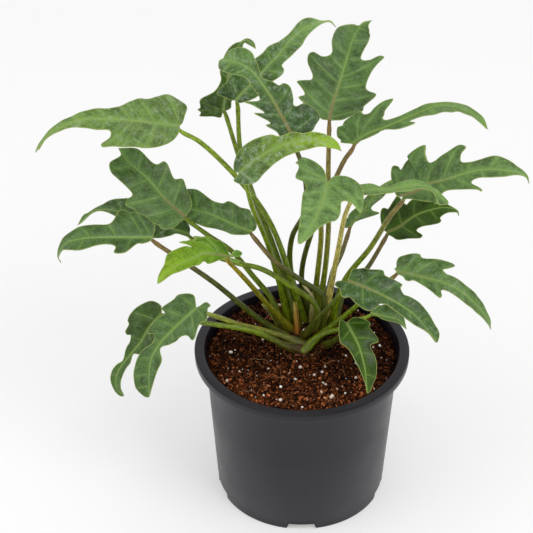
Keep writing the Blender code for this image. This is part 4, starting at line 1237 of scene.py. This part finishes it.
def leaf_look(name, under=False):
    """A blade's surface: green with soft pale veins, a thin pale edge, a silvery bloom that is partly
    painted sheen, and fine cells.
    """
    look = Look(name, specular=0.24)
    base = look.attribute("tint")
    if under:
        base = look.mix(0.25, look.scaled(base, 1.25), UNDER)
    veins = look.parts(look.attribute("veins", "Vector"))
    place = look.parts(look.attribute("place", "Vector"))
    stretched = {0: look.times(place[0], 0.35), 1: look.times(place[1], 3.0)}
    along_veins = look.node("ShaderNodeCombineXYZ", stretched)
    grain = look.noise(1.0, 4.0, 0.7, along_veins)
    blotch = look.noise(75.0, 3.0)
    mottle = look.noise(650.0, 3.0, 0.7)
    shade = look.add(look.spread(blotch, 0.64, 1.16), look.spread(mottle, -0.22, 0.22))
    shade = look.add(shade, look.spread(grain, -0.22, 0.22))
    colour, lines = leaf_veins(look, look.scaled(base, shade), base, blotch, veins, place)
    # Silver patches: partly the leaf's own bloom and partly painted sheen.
    silver_sheen = look.attribute("tint", "Alpha")
    streak = look.noise(240.0, 5.0, 0.75)
    patch = look.add(look.times(streak, 0.6), look.times(grain, 0.4))
    colour = look.mix(look.times(silver_sheen, look.rise(patch, 0.48, 0.62, 0.62)), colour, BLOOM_AND_SHEEN)
    speck = look.fade(look.cells(700.0), 0.10, 0.22, 0.4)
    dust = look.times(speck, look.rise(streak, 0.5, 0.58))
    colour = look.mix(look.times(dust, silver_sheen), colour, DUST)
    colour = look.mix(look.fade(veins[2], 0.2, 0.8, 0.6), colour, MARGIN)
    duller = 0.15 if under else 0.0
    gloss = look.add(look.spread(blotch, 0.28 + duller, 0.44 + duller), look.spread(mottle, -0.05, 0.08))
    return look.finish(
        colour, gloss, (blotch, 0.0016, 0.5), (lines, 0.00008, -0.6 if under else 0.6),
        (look.cells(1500.0), 0.00006, 0.5), (mottle, 0.00018, 0.6),
    )


def leaf_edge_look():
    """The thin pale rim of a blade."""
    look = Look("leaf_rim", specular=0.4)
    colour = look.mix(look.spread(look.noise(400.0), 0.25, 0.6), MARGIN, look.attribute("tint"))
    return look.finish(colour, look.spread(look.noise(700.0), 0.4, 0.55))


def stalk_look():
    """A stalk's skin: long streaks, darker freckles, and brown scurf at the foot."""
    look = Look("stalk_skin", specular=0.4)
    base = look.attribute("tint")
    streak = look.noise(2.2, 5.0, 0.65, look.attribute("grain", "Vector"))
    colour = look.scaled(base, look.fade(streak, 0.34, 0.66, 0.5, 1.65))
    freckle = look.noise(420.0, 4.0)
    colour = look.mix(look.rise(freckle, 0.54, 0.66, 0.6), colour, look.scaled(base, 0.35))
    pale = look.rise(look.noise(700.0, 2.0), 0.56, 0.7, 0.5)
    colour = look.mix(pale, colour, look.scaled(base, 1.9))
    scurf = look.times(look.attribute("tint", "Alpha"), look.rise(look.noise(200.0), 0.36, 0.58))
    colour = look.mix(scurf, colour, look.mix(look.rise(freckle, 0.4, 0.6), SCURF, PEAT_STAIN))
    gloss = look.spread(streak, 0.26, 0.42)
    return look.finish(colour, gloss, (streak, 0.0004, 0.5), (freckle, 0.0002, 0.4))


def husk_look():
    """A dry sheath: papery, with fibres along it and brown stains."""
    look = Look("dry_husk", specular=0.3)
    fibre = look.noise(3.0, 6.0, 0.7, look.attribute("grain", "Vector"))
    colour = look.scaled(look.attribute("tint"), look.spread(fibre, 0.6, 1.35))
    colour = look.mix(look.rise(look.noise(350.0), 0.55, 0.68, 0.7), colour, (0.13, 0.05, 0.02))
    return look.finish(colour, look.spread(fibre, 0.6, 0.8), (fibre, 0.0003, 0.8))


def mix_look():
    """The body of the potting mix: dark, fibrous peat, with painted shade that darkens it towards the back,
    under the leaves.
    """
    look = Look("potting_mix_bed", specular=0.05)
    coarse = look.noise(260.0, 6.0, 0.7)
    fine = look.noise(1300.0, 4.0, 0.7)
    colour = look.mix(look.rise(coarse, 0.40, 0.66), (0.006, 0.002, 0.001), (0.100, 0.027, 0.008))
    colour = look.mix(look.rise(fine, 0.5, 0.7, 0.6), colour, (0.190, 0.056, 0.018))
    # Painted shade: darker towards the back, where the leaves shade the mix.
    colour = look.scaled(colour, look.fade(look.parts(look.coordinates())[1], -0.055, -0.005, 1.1, 0.5))
    return look.finish(colour, look.spread(fine, 0.8, 0.98), (coarse, 0.0025, 1.0), (fine, 0.0006, 0.9))


def crumb_look():
    """Crumbs of coir and bark, each with its own colour and the mix's painted shade, darker where it is
    rough.
    """
    look = Look("mix_crumb", specular=0.06)
    coarse = look.noise(700.0, 4.0, 0.7)
    fine = look.noise(2500.0, 3.0, 0.7)
    own = look.fade(look.attribute("tint", "Alpha"), 0.0, 1.0, 0.45, 1.55)
    shade = look.times(look.fade(coarse, 0.32, 0.68, 0.3, 1.65), own)
    colour = look.scaled(look.attribute("tint"), shade)
    return look.finish(colour, look.spread(fine, 0.75, 0.95), (coarse, 0.0006, 0.9), (fine, 0.0002, 0.7))


def perlite_look():
    """Perlite: off-white and pitted, darker at the middle of each pit, with brown stains in patches."""
    look = Look("perlite_grain", specular=0.4)
    pits = look.cells(1700.0)
    stain = look.noise(500.0, 4.0)
    colour = look.scaled(look.attribute("tint"), look.fade(pits, 0.0, 0.5, 0.75, 1.05))
    colour = look.mix(look.rise(stain, 0.5, 0.66, 0.55), colour, (0.30, 0.17, 0.11))
    return look.finish(colour, look.spread(stain, 0.5, 0.75), (pits, 0.0003, 0.7))


def fibre_look():
    """Coir fibres, in a few browns."""
    look = Look("coir_fibre", specular=0.3)
    fine = look.noise(900.0, 3.0)
    colour = look.scaled(look.attribute("tint"), look.spread(fine, 0.7, 1.25))
    return look.finish(colour, look.spread(fine, 0.6, 0.8), (fine, 0.0001, 0.5))


def crown_look():
    """The crown: brown scales over greenish stem, with peat in the hollows."""
    look = Look("crown_scales", specular=0.1)
    scales = look.cells(220.0)
    patch = look.noise(160.0, 5.0, 0.65)
    colour = look.mix(look.rise(scales, 0.1, 0.6), (0.10, 0.040, 0.012), (0.020, 0.008, 0.003))
    colour = look.mix(look.rise(patch, 0.55, 0.7, 0.3), colour, (0.10, 0.10, 0.02))
    return look.finish(colour, look.spread(patch, 0.65, 0.9), (scales, 0.0015, 0.8), (patch, 0.0012, 0.7))


def pot_look():
    """Black moulded plastic: a fine dull grain, faint clouds and light scuffs."""
    look = Look("moulded_black", specular=0.38)
    grain = look.noise(2600.0, 2.0)
    cloud = look.noise(28.0, 4.0)
    scuff = look.noise(190.0, 6.0, 0.75)
    colour = look.mix(look.spread(cloud, 0.0, 1.0), *PLASTIC)
    colour = look.mix(look.rise(scuff, 0.62, 0.74, 0.35), colour, (0.06, 0.06, 0.065))
    gloss = look.add(look.spread(cloud, 0.32, 0.42), look.spread(grain, -0.04, 0.05))
    return look.finish(colour, gloss, (grain, 0.00005, 0.5), (scuff, 0.00008, 0.3))


def build_object():
    """Every piece of the plant, the mix and the pot."""
    blade = [leaf_look("leaf_upper"), leaf_look("leaf_under", under=True), leaf_edge_look()]
    stalk = stalk_look()
    husk = husk_look()
    for number, leaf in enumerate(LEAVES, 1):
        look = {**PLAIN, **LOOKS[number]}
        spine = build_blade(number, leaf, look, blade)
        build_stalk(number, leaf, look, spine, stalk)
    for number, sheath in enumerate(SHEATHS, 1):
        build_husk(number, sheath, husk)
    build_crown(crown_look())
    build_bed(mix_look())
    build_crumbs(crumb_look())
    build_perlite(perlite_look())
    build_fibres(fibre_look())
    build_pot(pot_look())


def add_aimed(name, data, place, aim):
    """A light or camera at a place, turned to a point, both in metres."""
    made = add_object(name, data)
    made.location = place
    made.rotation_euler = (Vector(aim) - Vector(place)).to_track_quat("-Z", "Y").to_euler()
    return made


def build_studio():
    """A plain pale floor, a bright even surround and two soft lights."""
    half = FLOOR_HALF
    mesh = bpy.data.meshes.new("floor")
    corners = [(-half, -half, 0), (half, -half, 0), (half, half, 0), (-half, half, 0)]
    mesh.from_pydata(corners, [], [(0, 1, 2, 3)])
    look = Look("floor_paper", roughness=0.8, specular=0.1)
    paper = {"Base Color": FLOOR_GREY, "Emission Color": WHITE, "Emission Strength": FLOOR_GLOW}
    look.feed(look.shader, paper)
    mesh.materials.append(look.material)
    add_object("floor", mesh)
    world = bpy.data.worlds.new("studio")
    world.use_nodes = True
    sky = world.node_tree.nodes["Background"]
    sky.inputs["Color"].default_value = WHITE
    sky.inputs["Strength"].default_value = SKY
    bpy.context.scene.world = world
    for name, (place, size, power) in LIGHTS.items():
        data = bpy.data.lights.new(name, "AREA")
        data.shape = "SQUARE"
        data.size = size
        data.energy = power
        add_aimed(name, data, place, LIGHT_AIM)


def build_camera():
    """The camera, at the height and distance of the reference view."""
    data = bpy.data.cameras.new("camera")
    data.sensor_width = 36.0
    data.lens = CAMERA_LENS
    lift = math.radians(CAMERA_LIFT)
    aim = Vector(CAMERA_AIM) * MM
    back = Vector((0.0, -math.cos(lift), math.sin(lift)))
    place = aim + back * CAMERA_DISTANCE * MM
    bpy.context.scene.camera = add_aimed("camera", data, place, aim)


bpy.context.scene.view_settings.view_transform = "Standard"
build_object()
build_studio()
build_camera()
